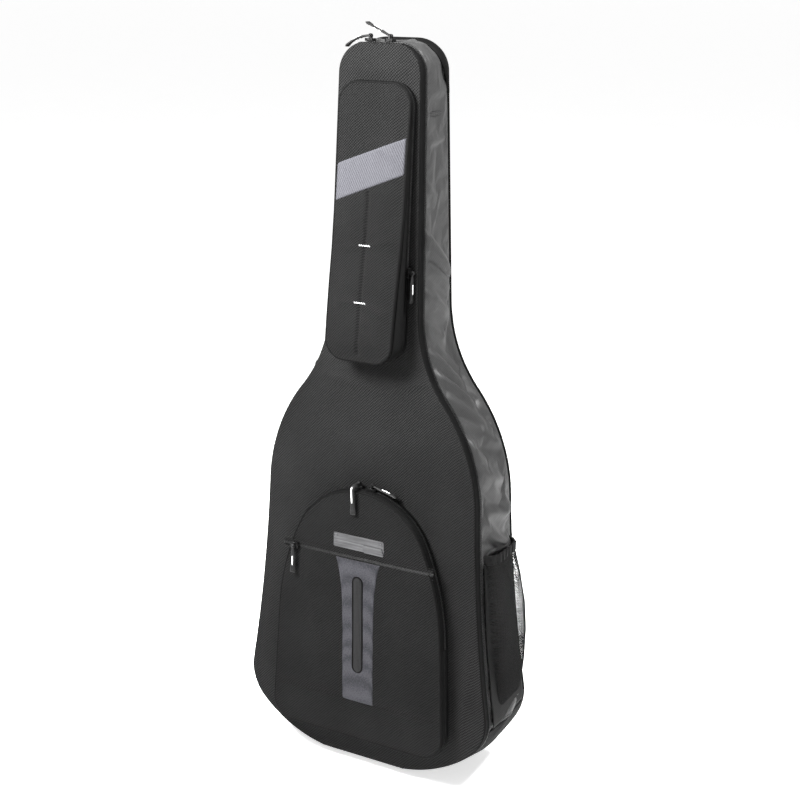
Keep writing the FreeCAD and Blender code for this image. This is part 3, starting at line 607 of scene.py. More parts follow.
AIR_MESH = dotted_mesh("air_mesh", (0.006, 0.006, 0.007), (0.030, 0.030, 0.032))
RUBBER = moulded("pull_rubber", 0.006, 0.018, 0.5)
WHITE = moulded("white_inlay", 0.62, 0.78, 0.5)
BUCKLE = moulded("buckle_nylon", 0.008, 0.020, 0.45)
ENAMEL = moulded("black_enamel", 0.006, 0.018, 0.28, 0.6)
METAL = brushed_metal("brushed_plate")


# ---------------------------------------------------------------- placing pieces

def label_piece(stands_for):
    if stands_for:
        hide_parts(*stands_for)


def add(piece, body, stands_for=()):
    """The piece moves with one body and stands for the CAD nodes named."""
    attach(piece, body)
    label_piece(stands_for)


def bend(piece, stands_for=()):
    """Applies the piece's modifiers and bakes its transform into its mesh; it joins no body and stands for the CAD
    nodes named.
    """
    if piece.modifiers:
        apply_modifiers(piece)
    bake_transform(piece)
    label_piece(stands_for)


def joined(name, pieces):
    """Merges pieces, which keep their materials, into one object."""
    for piece in pieces:
        if piece.modifiers:
            apply_modifiers(piece)
    with bpy.context.temp_override(active_object=pieces[0], object=pieces[0], selected_objects=pieces,
                                   selected_editable_objects=pieces):
        bpy.ops.object.join()
    pieces[0].name = name
    pieces[0].data.name = name
    return pieces[0]


def line_on(face, points, lift=0.0):
    """Given (x, height) points as a path lying on a face function."""
    points = np.asarray(points, float)
    x, h = points[:, 0], points[:, 1]
    return on_front(np.stack([x, face(x, h) - lift, h], axis=1))


def straight(x0, h0, x1, h1, step=3 * MM):
    count = max(2, int(math.hypot(x1 - x0, h1 - h0) / step) + 1)
    return np.stack([np.linspace(x0, x1, count), np.linspace(h0, h1, count)], axis=1)


# ---------------------------------------------------------------- surfaces of the front

STEP = 3.2 * MM
FRONT_LOOP, FRONT_NORMALS = FRONT.loop(STEP)
BAG_LOOP, BAG_NORMALS = BAG.loop(STEP)
BODY_LOOP, BODY_NORMALS = BODY.loop(2.6 * MM)
NECK_LOOP, NECK_NORMALS = NECK.loop(2.6 * MM)

COVER_CREASES = [
    (-0.150, 0.560, -0.085, 0.655, 0.010, 0.0022), (-0.100, 0.612, 0.010, 0.600, 0.008, 0.0020),
    (-0.070, 0.628, -0.005, 0.634, 0.005, -0.0018), (0.030, 0.604, 0.105, 0.622, 0.007, 0.0018),
    (-0.165, 0.500, -0.120, 0.600, 0.014, -0.0020), (0.100, 0.560, 0.165, 0.505, 0.012, 0.0020),
    (0.070, 0.640, 0.140, 0.560, 0.010, 0.0016), (-0.185, 0.130, -0.165, 0.330, 0.012, 0.0016),
    (0.165, 0.120, 0.185, 0.330, 0.012, 0.0018), (-0.060, 0.510, 0.080, 0.522, 0.022, 0.0016),
    (-0.048, 1.050, 0.046, 1.043, 0.008, 0.0010), (0.166, 0.070, 0.176, 0.240, 0.007, 0.0026),
]
BODY_CREASES = [
    (-0.090, 0.335, -0.060, 0.160, 0.010, 0.0012), (0.060, 0.330, 0.085, 0.150, 0.012, 0.0012),
    (-0.120, 0.250, -0.045, 0.200, 0.008, -0.0010), (0.045, 0.215, 0.125, 0.265, 0.009, -0.0010),
    (-0.080, 0.410, 0.070, 0.400, 0.014, 0.0010), (-0.135, 0.120, -0.040, 0.128, 0.007, 0.0012),
    (-0.050, 0.100, 0.120, 0.090, 0.010, 0.0012), (-0.110, 0.290, -0.050, 0.310, 0.007, 0.0008),
]
NECK_CREASES = [
    (0.008, 0.940, 0.044, 0.905, 0.005, -0.0016), (0.000, 0.955, 0.040, 0.925, 0.004, 0.0012),
    (-0.040, 0.990, -0.010, 0.930, 0.009, 0.0010), (-0.046, 0.800, 0.000, 0.808, 0.006, 0.0012),
    (0.000, 0.806, 0.046, 0.820, 0.006, 0.0012), (-0.045, 0.725, 0.000, 0.730, 0.006, 0.0012),
    (0.000, 0.728, 0.045, 0.712, 0.006, 0.0012), (0.006, 0.700, 0.030, 0.660, 0.006, -0.0012),
    (-0.030, 0.860, -0.014, 0.780, 0.008, 0.0012), (0.014, 0.870, 0.030, 0.790, 0.008, 0.0012),
]


def cover_face(x, h):
    """Depth of the cover's padded face; the padding swells it a little."""
    edge = edge_distance(x, h, FRONT_LOOP)
    swell = 2.6 * MM * smooth_step(edge, 0.003, 0.045)
    loose = smooth_step(edge, 0.004, 0.022)
    soft = 0.7 * MM * value_noise(x, h, 0.085, 3) + 0.3 * MM * value_noise(x, h, 0.03, 4)
    return 1.0 * MM - swell - loose * (soft + creases(x, h, COVER_CREASES))


def body_face(x, h):
    edge = edge_distance(x, h, BODY_LOOP)
    swell = 1.9 * MM * smooth_step(edge, 0.001, 0.040)
    loose = smooth_step(edge, 0.003, 0.020)
    soft = 0.5 * MM * value_noise(x, h, 0.06, 5) + 0.25 * MM * value_noise(x, h, 0.024, 6)
    seam = 1.1 * MM * np.exp(-((h - SEAM_LOW) / 0.0022) ** 2)
    return -BODY_DEPTH + 1.5 * MM - swell - loose * (soft + creases(x, h, BODY_CREASES)) + seam * loose


def body_depth(h):
    return BODY_DEPTH + 0 * np.asarray(h, float)


def neck_depth(h):
    """How far the pocket's face stands off the cover: it is a wedge, deep at its bottom."""
    return np.interp(h, np.array([645, 670, 700, 750, 800, 850, 900, 960, 1000, 1030]) * MM,
                     np.array([43, 43.5, 40.5, 34.5, 27.5, 22.5, 19, 15.5, 13.5, 12.5]) * MM)


def neck_face(x, h):
    edge = edge_distance(x, h, NECK_LOOP)
    swell = 2.4 * MM * smooth_step(edge, 0.001, 0.028)
    loose = smooth_step(edge, 0.003, 0.014)
    soft = 0.5 * MM * value_noise(x, h, 0.045, 7) + 0.3 * MM * value_noise(x, h, 0.02, 8)
    pleat = np.where((h > 0.655) & (h < 0.886), 3.0 * MM * np.exp(-(x / 0.0024) ** 2), 0)
    return -neck_depth(h) + 1.5 * MM - swell - loose * (soft + creases(x, h, NECK_CREASES)) + pleat * loose


def panel(name, outline, face, material, inset, step=STEP, low=None, fine=None):
    """Panel that fills an outline: rows across, each as wide as the outline is there."""
    rows = outline.rows(step)
    heights = rows[:, 1]
    if fine:
        spots = np.arange(*fine)
        heights = np.unique(np.concatenate([heights, spots]))
        heights = heights[np.concatenate([[True], np.diff(heights) > 0.4 * MM])]
    if low is not None:
        heights = np.concatenate([[low], heights[heights > low + 0.5 * MM]])
    half = np.interp(heights, rows[:, 1], rows[:, 0])
    columns = 2 * int(half.max() / step) + 1
    across = np.linspace(-1, 1, columns)
    x = across[None, :] * np.maximum(half - inset, 0.3 * MM)[:, None]
    low_end, high_end = rows[0, 1] + inset, rows[-1, 1] - inset
    h = np.clip(heights, low_end, high_end)[:, None] + 0 * x
    return grid(name, on_front(np.stack([x, face(x, h), h], axis=-1)), material)


def ring_path(loop, normals, inset, depth):
    """Path round an outline on the front, moved inward and set at a depth."""
    places = loop - normals * inset
    return on_front(np.stack([places[:, 0], depth + 0 * places[:, 0], places[:, 1]], axis=1))


def front_normals(normals):
    return on_front(np.stack([normals[:, 0], 0 * normals[:, 0], normals[:, 1]], axis=1)) - on_front([0, 0, 0])


def above(loop, level):
    """Indices, in order, of the part of a loop above a level, from its right foot over the top."""
    return np.arange(len(loop))[loop[:, 1] >= level]


def below(loop, level):
    """Indices, in order, of the part of a loop below a level, from its left foot round the bottom."""
    inside = np.flatnonzero(loop[:, 1] <= level)
    split = np.flatnonzero(np.diff(inside) > 1)
    if len(split):
        inside = np.concatenate([inside[split[0] + 1:], inside[:split[0] + 1]])
    return inside


def band(name, loop, normals, index, offsets, depths, material, wrap=False):
    """Strip along part of a front outline; offsets are outward and depths inward, one per column."""
    points, outs = loop[index], normals[index]
    offsets, depths = np.asarray(offsets, float), np.asarray(depths, float)
    x = points[:, 0:1] + outs[:, 0:1] * offsets[None, :]
    h = points[:, 1:2] + outs[:, 1:2] * offsets[None, :]
    d = np.broadcast_to(depths if depths.ndim > 1 else depths[None, :], x.shape)
    return grid(name, on_front(np.stack([x, d, h], axis=-1)), material, wrap_rows=wrap, flip=True)


TOOTH = ([(-0.9, -1.7, -0.2), (0.9, -1.7, -0.2), (0.9, 1.7, -0.2), (-0.9, 1.7, -0.2),
          (-0.75, -1.5, 0.8), (0.75, -1.5, 0.8), (0.75, 1.5, 0.8), (-0.75, 1.5, 0.8),
          (-0.4, -1.1, 1.15), (0.4, -1.1, 1.15), (0.4, 1.1, 1.15), (-0.4, 1.1, 1.15)],
         [(3, 2, 1, 0), (0, 1, 5, 4), (1, 2, 6, 5), (2, 3, 7, 6), (3, 0, 4, 7),
          (4, 5, 9, 8), (5, 6, 10, 9), (6, 7, 11, 10), (7, 4, 8, 11), (8, 9, 10, 11)])


def spread_over(outs, count):
    """The outward direction at each of count even places along a run of directions."""
    return outs[np.clip((np.arange(count) + 0.5) / count * len(outs), 0, len(outs) - 1).astype(int)]


def teeth(name, path, outs, shift, size=1.0, phase=0.0, pitch=2.4 * MM):
    """Half of a zip's coil along a path; shift moves it sideways off the meeting line."""
    places, ways = even_steps(path, pitch)
    places = places + ways * phase * pitch
    if not isinstance(outs, tuple):
        outs = spread_over(outs, len(places))
    vertices = np.array(TOOTH[0]) * MM * size + np.array([0, shift, 0])
    return stamped(name, places, ways, outs, vertices, TOOTH[1], COIL, smooth=False)


# ---------------------------------------------------------------- front cover

def make_cover():
    face = panel("cover_face", FRONT, cover_face, CLOTH, inset=2.4 * MM)
    thicken(face, 2 * MM, 1.0)
    bend(face,
         ("front_cover_skin", "sill_cover", "front_cover_foam", "sill_foam"))
    for name, depth, inset, radius in (("cover_piping_front", 1.6 * MM, 2.5 * MM, 2.2 * MM),
                                       ("cover_piping_rear", 6.6 * MM, 2.7 * MM, 1.9 * MM)):
        path = ring_path(FRONT_LOOP, FRONT_NORMALS, inset, depth)
        bead = sweep(name, path, circle(radius), PIPING, True)
        nodes = ("front_piping", "sill_piping") if "front" in name else ()
        bend(bead, nodes)
    # The strip of edging between and behind the two beads.
    whole = np.arange(len(FRONT_LOOP))
    edging = band("cover_edging", FRONT_LOOP, FRONT_NORMALS, whole, mm(-2.6, -2.2, -2.2, -2.6),
                  mm(0.6, 3, 5.5, 8.2), PIPING, wrap=True)
    thicken(edging, 0.8 * MM)
    bend(edging)
    seam = line_on(cover_face, FRONT_LOOP - FRONT_NORMALS * 6.6 * MM, 0.1 * MM)
    rows = stitches("cover_stitching", seam, FORWARD, THREAD, closed=True)
    bend(rows)


def make_main_zip():
    upper = above(FRONT_LOOP, ZIP_END)
    outs = front_normals(FRONT_NORMALS[upper])
    loop, normals = FRONT_LOOP[upper], FRONT_NORMALS[upper]
    path = ring_path(loop, normals, 1 * MM, MOUTH)
    for part, body, depths, side, node in (
            ("front", "front_cover", (7.6, 9.0, 12.2, 13.6), 1, "main_zip_front"),
            ("shell", "shell", (14.4, 15.4, 18.0, 19.6), -1, "main_zip_shell")):
        offsets = mm(-2.4, -1.5, -1.3, -1.6)
        offsets = offsets if side > 0 else offsets[::-1]
        tape = band(f"main_zip_tape_{part}", FRONT_LOOP, FRONT_NORMALS, upper, offsets,
                    [d * MM for d in depths], TAPE)
        thicken(tape, 0.8 * MM)
        row = teeth(f"main_zip_teeth_{part}", path, outs, side * 1.3 * MM, 0.95, 0.25 * side)
        both = joined(f"main_zip_{part}_half", [tape, row])
        add(both, body, (node,))
        at = depths[1] if side > 0 else depths[2]
        places, ways = even_steps(ring_path(loop, normals, 1.2 * MM, at * MM), 4.4 * MM)
        thread = stamped(f"main_zip_stitching_{part}", places, ways, spread_over(outs, len(places)),
                         *thread_shape(3.2 * MM, 0.38 * MM), THREAD)
        add(thread, body)


def make_cover_lining():
    """The inside of the cover: a padded sheet with a bound rim."""
    def inner(x, h):
        edge = edge_distance(x, h, FRONT_LOOP)
        return 12.6 * MM + 0.9 * MM * smooth_step(edge, 0.004, 0.02) + 0.25 * MM * value_noise(x, h, 0.06, 12)

    sheet = panel("cover_lining", FRONT, inner, LINING, inset=3.2 * MM, step=6 * MM, low=COVER_FOLD + 1 * MM)
    thicken(sheet, 1.2 * MM, 0.0)
    add(sheet, "front_cover", ("front_cover_lining",))
    upper = above(FRONT_LOOP, ZIP_END)
    rim = band("cover_lining_binding", FRONT_LOOP, FRONT_NORMALS, upper,
               mm(-2.2, -3.0, -9.0, -9.6), mm(12.6, 13.9, 14.0, 13.2), BINDING)
    thicken(rim, 0.8 * MM, 0.0)
    add(rim, "front_cover")


# ---------------------------------------------------------------- shell sides, back and inside

def mouth_y(height, depth):
    """Row-frame Y, at a height, of the leaning plane that far behind the cover's face."""
    return -HALF_DEPTH + height * math.tan(LEAN) + depth / math.cos(LEAN)


def fold_lines(seed, count, low, high, tilt, length, width, rise):
    """Random folds across the side, in (y, height), most of them dropping towards the back."""
    draw = np.random.default_rng(seed)
    lines = []
    for i in range(count):
        height = low + (high - low) * (i + draw.uniform(0.1, 0.9)) / count
        reach, slope = draw.uniform(*length), math.radians(draw.uniform(*tilt))
        start = draw.uniform(-0.060, 0.0)
        dy, dz = math.cos(slope) * reach, -math.sin(slope) * reach
        up = 1 if i % 3 else -0.7
        lines.append((start, height, start + dy, height + dz, draw.uniform(*width), up * draw.uniform(*rise)))
    return lines


# Groups of folds: how many, the lowest and highest start, then the ranges of slope in degrees, length,
# half width and height.
FOLD_GROUPS = [
    (12, 0.600, 0.850, (25, 48), (0.080, 0.130), (0.0065, 0.0110), (0.0080, 0.0130)),
    (8, 0.360, 0.470, (15, 50), (0.070, 0.120), (0.006, 0.010), (0.0050, 0.0085)),
    (8, 0.470, 0.600, (20, 50), (0.070, 0.120), (0.008, 0.013), (0.0050, 0.0085)),
    (12, 0.860, 1.040, (-20, 40), (0.040, 0.090), (0.004, 0.008), (0.0014, 0.0030)),
    (12, 0.040, 0.330, (-30, 40), (0.050, 0.100), (0.006, 0.010), (0.0012, 0.0026)),
]


def side_folds(seed):
    return [line for k, group in enumerate(FOLD_GROUPS) for line in fold_lines(seed + k, *group)]


FOLDS = {1: side_folds(21), -1: side_folds(57)}
BACK_EDGE = 64 * MM


def front_step(points, normals):
    """How far inside each place of the bag's outline the smaller front outline runs."""
    away = points[:, None, :] - FRONT_LOOP[None, :, :]
    near = np.argmin((away**2).sum(axis=2), axis=1)
    step = (away[np.arange(len(points)), near] * normals).sum(axis=1)
    return np.where(points[:, 1] < 0.25, step, 0)


FRONT_STEP = front_step(BAG_LOOP, BAG_NORMALS)


def side_surface(index, columns, inset, front_depth, back, ripple=1.0):
    """Places on the padded side along part of the outline, rows along it and columns front to back."""
    points, outs = BAG_LOOP[index], BAG_NORMALS[index]
    share = np.linspace(0, 1, columns)
    height = points[:, 1]
    front = mouth_y(height, front_depth)
    y = front[:, None] + (back - front)[:, None] * share[None, :]
    h = height[:, None] + 0 * y
    swell = 1.8 * MM * (1 - np.abs(2 * share - 1) ** 2.5)
    hold = np.clip(np.minimum(share / 0.05, (1 - share) / 0.15), 0, 1)
    lift = np.zeros_like(y)
    for side, lines in FOLDS.items():
        mine = (points[:, 0] * side > 0)[:, None]
        lift = np.where(mine, creases(y, h, lines) + 0.9 * MM * value_noise(y, h, 0.05, 30 + side)
                        + 0.5 * MM * value_noise(y, h, 0.018, 40 + side), lift)
    top = smooth_step(height, 1.040, 1.075)[:, None]
    offset = -inset + swell[None, :] + lift * hold[None, :] * (1 - top) * ripple
    offset = offset - FRONT_STEP[index][:, None] * np.clip(1 - share / 0.42, 0, 1)[None, :] ** 2
    x = points[:, 0:1] + outs[:, 0:1] * offset
    z = points[:, 1:2] + outs[:, 1:2] * offset
    return np.stack([x, y, z], axis=-1)


SETTLE_FRAMES = 16
SETTLE_LIMIT = 5 * MM


def settle(piece, hold):
    """Lets light pressure ease the folds, held where hold is 1, and keeps each move within the limit."""
    group = piece.vertex_groups.new(name="held")
    for weight in np.unique(hold.round(2)):
        group.add([int(i) for i in np.flatnonzero(hold.round(2) == weight)], float(weight), "REPLACE")
    cloth = piece.modifiers.new("cloth", "CLOTH")
    settings = cloth.settings
    settings.quality = 6
    settings.mass = 0.25
    settings.tension_stiffness = settings.compression_stiffness = 12
    settings.shear_stiffness = 6
    settings.bending_stiffness = 0.35
    settings.use_pressure = True
    settings.uniform_pressure_force = 3.0
    settings.vertex_group_mass = group.name
    settings.pin_stiffness = 1.0
    settings.effector_weights.gravity = 0.0
    settings.shrink_min = -0.015
    cloth.collision_settings.use_collision = False
    cloth.point_cache.frame_start = 1
    cloth.point_cache.frame_end = SETTLE_FRAMES
    scene = bpy.context.scene
    before = np.array([v.co for v in piece.data.vertices])
    for frame_number in range(1, SETTLE_FRAMES + 1):
        scene.frame_set(frame_number)
    apply_modifiers(piece)
    after = np.array([v.co for v in piece.data.vertices])
    move = after - before
    far = np.linalg.norm(move, axis=1)
    scale = np.where(far > SETTLE_LIMIT, SETTLE_LIMIT / np.maximum(far, 1e-9), 1.0)
    after = np.where(np.isfinite(move).all(axis=1)[:, None], before + move * scale[:, None], before)
    piece.data.vertices.foreach_set("co", after.ravel())
    piece.data.update()
    scene.frame_set(1)


def make_sides():
    upper = above(BAG_LOOP, GUARD_TOP - 2 * MM)
    columns = 38
    half = len(upper) // 2
    for name, index in (("side_panel_right", upper[:half + 1]), ("side_panel_left", upper[half:])):
        places = side_surface(index, columns, 3.2 * MM, 15 * MM, BACK_EDGE)
        piece = grid(name, places, SIDE_CLOTH, flip=True)
        share = np.tile(np.linspace(0, 1, columns), len(index))
        hold = 1 - smooth_step(np.minimum(share, 1 - share), 0.0, 0.10)
        ends = np.repeat(np.minimum(np.arange(len(index)), np.arange(len(index))[::-1]), columns)
        hold = np.maximum(hold, 1 - smooth_step(ends.astype(float), 0, 4))
        settle(piece, hold)
        thicken(piece, 2 * MM)
        nodes = ("side_cover", "neck_side_foam", "head_foam") if "right" in name else ()
        add(piece, "shell", nodes + (f"{name.split('_')[-1]}_side_foam",))

    lower = below(BAG_LOOP, GUARD_TOP)
    base = grid("base_panel", side_surface(lower, 30, 1.6 * MM, 14.6 * MM, BACK_EDGE, 0.6), BASE_CLOTH,
                flip=True)
    thicken(base, 2 * MM)
    add(base, "shell", ("base_guard", "base_foam"))

    # Seams across the side: where the base panel is sewn on and below the head.
    for name, level, lift in (("base_seam", GUARD_TOP, 1.4 * MM), ("head_seam", 0.985, 0.4 * MM)):
        lines = []
        for side in (1, -1):
            here = np.argmin(np.abs(BAG_LOOP[:, 1] - level) + 9.0 * (BAG_LOOP[:, 0] * side < 0))
            run = side_surface(np.array([here]), 40, 3.2 * MM - lift, 15 * MM, BACK_EDGE)[0]
            outward = np.array([BAG_NORMALS[here][0], 0, BAG_NORMALS[here][1]])
            lines.append(sweep(f"{name}_ridge", run, rounded_bar(4.5 * MM, 1.4 * MM), SIDE_CLOTH,
                               hint=np.array([0, 0, 1])))
            for shift in mm(-1.3, 1.3):
                path = run + outward * 0.8 * MM + np.array([0, 0, shift])
                lines.append(stitches(f"{name}_thread", path, tuple(outward), THREAD))
        add(joined(name, lines), "shell")

    # A near-black strip down the back of the head, wider towards the top: the back panel's cloth seen there, darkened
    # as painted shade in the gap behind the side panel.
    head = above(BAG_LOOP, 1.010)
    strip_places = side_surface(head, 12, -0.6 * MM, 15 * MM, BACK_EDGE, 0.0)
    reach = 4 * MM + 20 * MM * smooth_step(BAG_LOOP[head][:, 1], 1.010, 1.078)
    strip_places[..., 1] = BACK_EDGE - reach[:, None] * np.linspace(1, 0, 12)[None, :]
    strip = grid("head_back_and_shade_strip", strip_places, PIPING, flip=True)
    thicken(strip, 1.2 * MM)
    add(strip, "shell")


def bag_rows(step, columns, inset):
    """X and height in rows across the bag's outline, drawn in by an inset."""
    rows = BAG.rows(step)
    x = np.linspace(-1, 1, columns)[None, :] * np.maximum(rows[:, 0] - inset, 0.3 * MM)[:, None]
    return x, np.clip(rows[:, 1], inset, HEIGHT - inset)[:, None] + 0 * x


def make_back():
    def face(x, h):
        edge = edge_distance(x, h, BAG_LOOP)
        quilt = 0.7 * MM * value_noise(x, h, 0.11, 14) + 0.3 * MM * value_noise(x, h, 0.035, 15)
        return HALF_DEPTH - 1.2 * MM + 2.2 * MM * smooth_step(edge, 0.003, 0.05) \
            + quilt * smooth_step(edge, 0.004, 0.03)

    x, z = bag_rows(5 * MM, 71, 2.4 * MM)
    back = grid("back_panel", np.stack([x, face(x, z), z], axis=-1), BACK_CLOTH, flip=True)
    thicken(back, 2 * MM)
    add(back, "shell", ("back_cover", "back_foam"))

    def round_back(inset, y):
        places = BAG_LOOP - BAG_NORMALS * inset
        return np.stack([places[:, 0], np.full(len(places), y), places[:, 1]], axis=1)

    beads = [sweep("back_bead", round_back(2.5 * MM, HALF_DEPTH - 1.8 * MM), circle(2.2 * MM), PIPING, True),
             sweep("back_bead", round_back(2.8 * MM, HALF_DEPTH - 6.0 * MM), circle(1.8 * MM), PIPING, True)]
    add(joined("back_piping_beads", beads), "shell", ("back_piping",))
    inner = BAG_LOOP - BAG_NORMALS * 7 * MM
    seam = np.stack([inner[:, 0], face(inner[:, 0], inner[:, 1]) + 0.2 * MM, inner[:, 1]], axis=1)
    add(stitches("back_stitching", seam, (0, 1, 0), THREAD, closed=True), "shell")


def make_inside():
    """Lining of the compartment and its bound rim."""
    deep = 16.4 * MM
    height = BAG_LOOP[:, 1]
    front = mouth_y(height, 15 * MM)
    back = HALF_DEPTH - 14.6 * MM
    share = np.linspace(0, 1, 16)
    points = BAG_LOOP - BAG_NORMALS * deep
    y = front[:, None] + (back - front)[:, None] * share[None, :]
    ripple = 0.6 * MM * value_noise(y, height[:, None] + 0 * y, 0.05, 18)
    x = points[:, 0:1] - BAG_NORMALS[:, 0:1] * ripple
    z = points[:, 1:2] - BAG_NORMALS[:, 1:2] * ripple
    wall = grid("lining_side", np.stack([x, y, z], axis=-1), LINING, wrap_rows=True)
    thicken(wall, 1 * MM, 0.0)
    add(wall, "shell", ("shell_lining",))

    x, z = bag_rows(7 * MM, 51, deep)
    y = back - 0.5 * MM * value_noise(x, z, 0.07, 19) - 0.5 * MM
    sheet = grid("lining_back", np.stack([x, y, z], axis=-1), LINING)
    thicken(sheet, 1 * MM, 1.0)
    add(sheet, "shell")

    # The rim that the zip closes against: it joins the side's cloth to the lining.
    offsets = np.array([-3.0, -3.4, -9.5, -16.0, -17.0]) * MM
    depths = np.array([16.5, 14.7, 14.5, 14.7, 17.0]) * MM
    places = []
    room = (14 * MM - FRONT_STEP) / (14 * MM)
    for offset, depth in zip(offsets, depths):
        ring = BAG_LOOP + BAG_NORMALS * (offset * room - 17 * MM * (1 - room))[:, None]
        places.append(np.stack([ring[:, 0], mouth_y(ring[:, 1], depth), ring[:, 1]], axis=1))
    rim = grid("shell_rim", np.stack(places, axis=1), BINDING, wrap_rows=True, flip=True)
    thicken(rim, 1 * MM)
    add(rim, "shell")


def make_neck_rest():
    low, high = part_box("neck_rest")
    rings = []
    half, back, front = (high.x - low.x) / 2, high.y, low.y
    groove, axis_y = 30 * MM, front - 12 * MM
    reach = math.sqrt(groove**2 - (12 * MM) ** 2)
    corner = 5 * MM
    section = [(-half, back), (-half, front + corner)]
    section += [(-half + corner * (1 - math.cos(a)), front + corner * (1 - math.sin(a)))
                for a in np.radians([30, 60, 90])]
    start = math.atan2(front - axis_y, reach)
    section += [(groove * math.cos(a), axis_y + groove * math.sin(a))
                for a in np.linspace(math.pi - start, start, 14)]
    section += [(half - corner * (1 - math.cos(a)), front + corner * (1 - math.sin(a)))
                for a in np.radians([90, 60, 30])]
    section += [(half, front + corner), (half, back)]
    section = np.array(section)
    middle = section.mean(axis=0)
    for share, size in ((0.0, 0.955), (0.012, 0.985), (0.04, 1.0), (0.3, 1.004), (0.5, 1.006), (0.7, 1.004),
                        (0.96, 1.0), (0.988, 0.985), (1.0, 0.955)):
        ring = middle + (section - middle) * size
        ring[:, 1] = np.minimum(ring[:, 1], back)
        z = low.z + (high.z - low.z) * share
        rings.append(np.column_stack([ring, np.full(len(ring), z)]))
    rest = np.stack(rings)
    piece = make_object("neck_rest_block", rest.reshape(-1, 3), capped_faces(*rest.shape[:2]), LINING)
    add(piece, "shell", ("neck_rest",))


# ---------------------------------------------------------------- pockets on the cover

def make_pocket(name, outline, loop, normals, depth_at, split, where, face, zip_low, fine):
    """A raised pocket: wall on the cover, then a front and rim joined into one piece."""
    flap = where[1]
    whole = np.arange(len(loop))
    depth = depth_at(loop[:, 1])
    wall = band(f"{name}_gusset", loop, normals, whole, [0.3 * MM, 0.0, -0.3 * MM, 0.0],
                [2.5 * MM, -split * 0.33, -split * 0.66, -split + 0.2 * MM], GUSSET_CLOTH, wrap=True)
    thicken(wall, 1.6 * MM)
    add(wall, "front_cover", (f"{name}_wall",))

    front = panel(f"{name}_panel", outline, face, POCKET_CLOTH, inset=0.8 * MM, step=2.6 * MM, fine=fine)
    share = np.array([0.0, 0.12, 0.3, 0.5, 0.7, 0.88, 1.0])
    near, far = split + 0.3 * MM, depth - 1.3 * MM
    crown = 1.4 * np.sin(np.pi * share) ** 2 * np.clip((depth.max() - split) / 0.03, 0, 1)
    tuck = -(0.1 + 1.1 * share - crown) * MM
    rim = band(f"{name}_rim", loop, normals, whole, tuck, -(near + (far - near)[:, None] * share[None, :]),
               GUSSET_CLOTH, wrap=True)
    thicken(front, 1.4 * MM, 1.0)
    thicken(rim, 1.4 * MM)
    shell = joined(f"{name}_front_and_rim", [front, rim])
    bend(shell, (f"{name}_front", f"{name}_flap"))

    rear = np.minimum(6.2 * MM, (depth - split) * 0.5)
    beads = [sweep("bead", ring_path(loop, normals, inset, -depth + back), circle(radius), PIPING, True)
             for inset, back, radius in (mm(1.4, 1.6, 1.9), (0.6 * MM, rear, 1.4 * MM))]
    bend(joined(f"{name}_piping", beads))
    seam = line_on(face, loop - normals * 5.2 * MM, 0.1 * MM)
    bend(stitches(f"{name}_stitching", seam, FORWARD, THREAD, closed=True))
    foot = ring_path(loop, normals, -1.0 * MM, -0.6 * MM)
    foot[:, 1] -= 0.8 * MM
    add(sweep(f"{name}_foot_binding", foot, circle(1.3 * MM, 8), PIPING, True), "front_cover")

    upper = above(loop, zip_low)
    tape_width = min(6.2 * MM, split - 0.8 * MM)
    points, outs = loop[upper], normals[upper]
    path = ring_path(points, outs, -0.5 * MM, -split)
    spread = front_normals(outs)
    for part, body, depths, side in (("wall", "front_cover", (-split + 0.5 * MM, -split + tape_width), -1),
                                     ("flap", flap, (-split - tape_width, -split - 0.6 * MM), 1)):
        tape = band("tape", loop, normals, upper, mm(0.1, 0.6, 0.6, 0.1),
                    np.linspace(depths[0], depths[1], 4), TAPE)
        thicken(tape, 0.6 * MM)
        row = teeth("row", path, spread, side * 1.1 * MM, 0.85, 0.25 * side, 2.2 * MM)
        both = joined(f"{name}_zip_{part}", [tape, row])
        if body == flap:
            bend(both, (f"{name}_zip",))
        else:
            add(both, body)


def draped(name, corners, face, lift, material, columns=22, rows=50, thickness=0.8 * MM, crown=0.0):
    """Trim lying on a face: corners go lower left, lower right, upper right, upper left."""
    a, b, c, d = [np.array(p, float) for p in corners]
    u, v = np.meshgrid(np.linspace(0, 1, columns), np.linspace(0, 1, rows))
    place = (a * ((1 - u) * (1 - v))[..., None] + b * (u * (1 - v))[..., None]
             + c * (u * v)[..., None] + d * ((1 - u) * v)[..., None])
    x, h = place[..., 0], place[..., 1]
    edge = np.clip(np.minimum(np.minimum(u, 1 - u) * np.linalg.norm(b - a),
                              np.minimum(v, 1 - v) * np.linalg.norm(d - a)) / (2.2 * MM), 0, 1)
    depth = face(x, h) - lift - crown * (1 - (1 - edge) ** 2)
    piece = grid(name, on_front(np.stack([x, depth, h], axis=-1)), material)
    thicken(piece, thickness, 1.0)
    return piece


def drift(h):
    """The stripe and its slot lean a little to the right towards their foot."""
    return 5 * MM * (344 * MM - h) / (225 * MM)


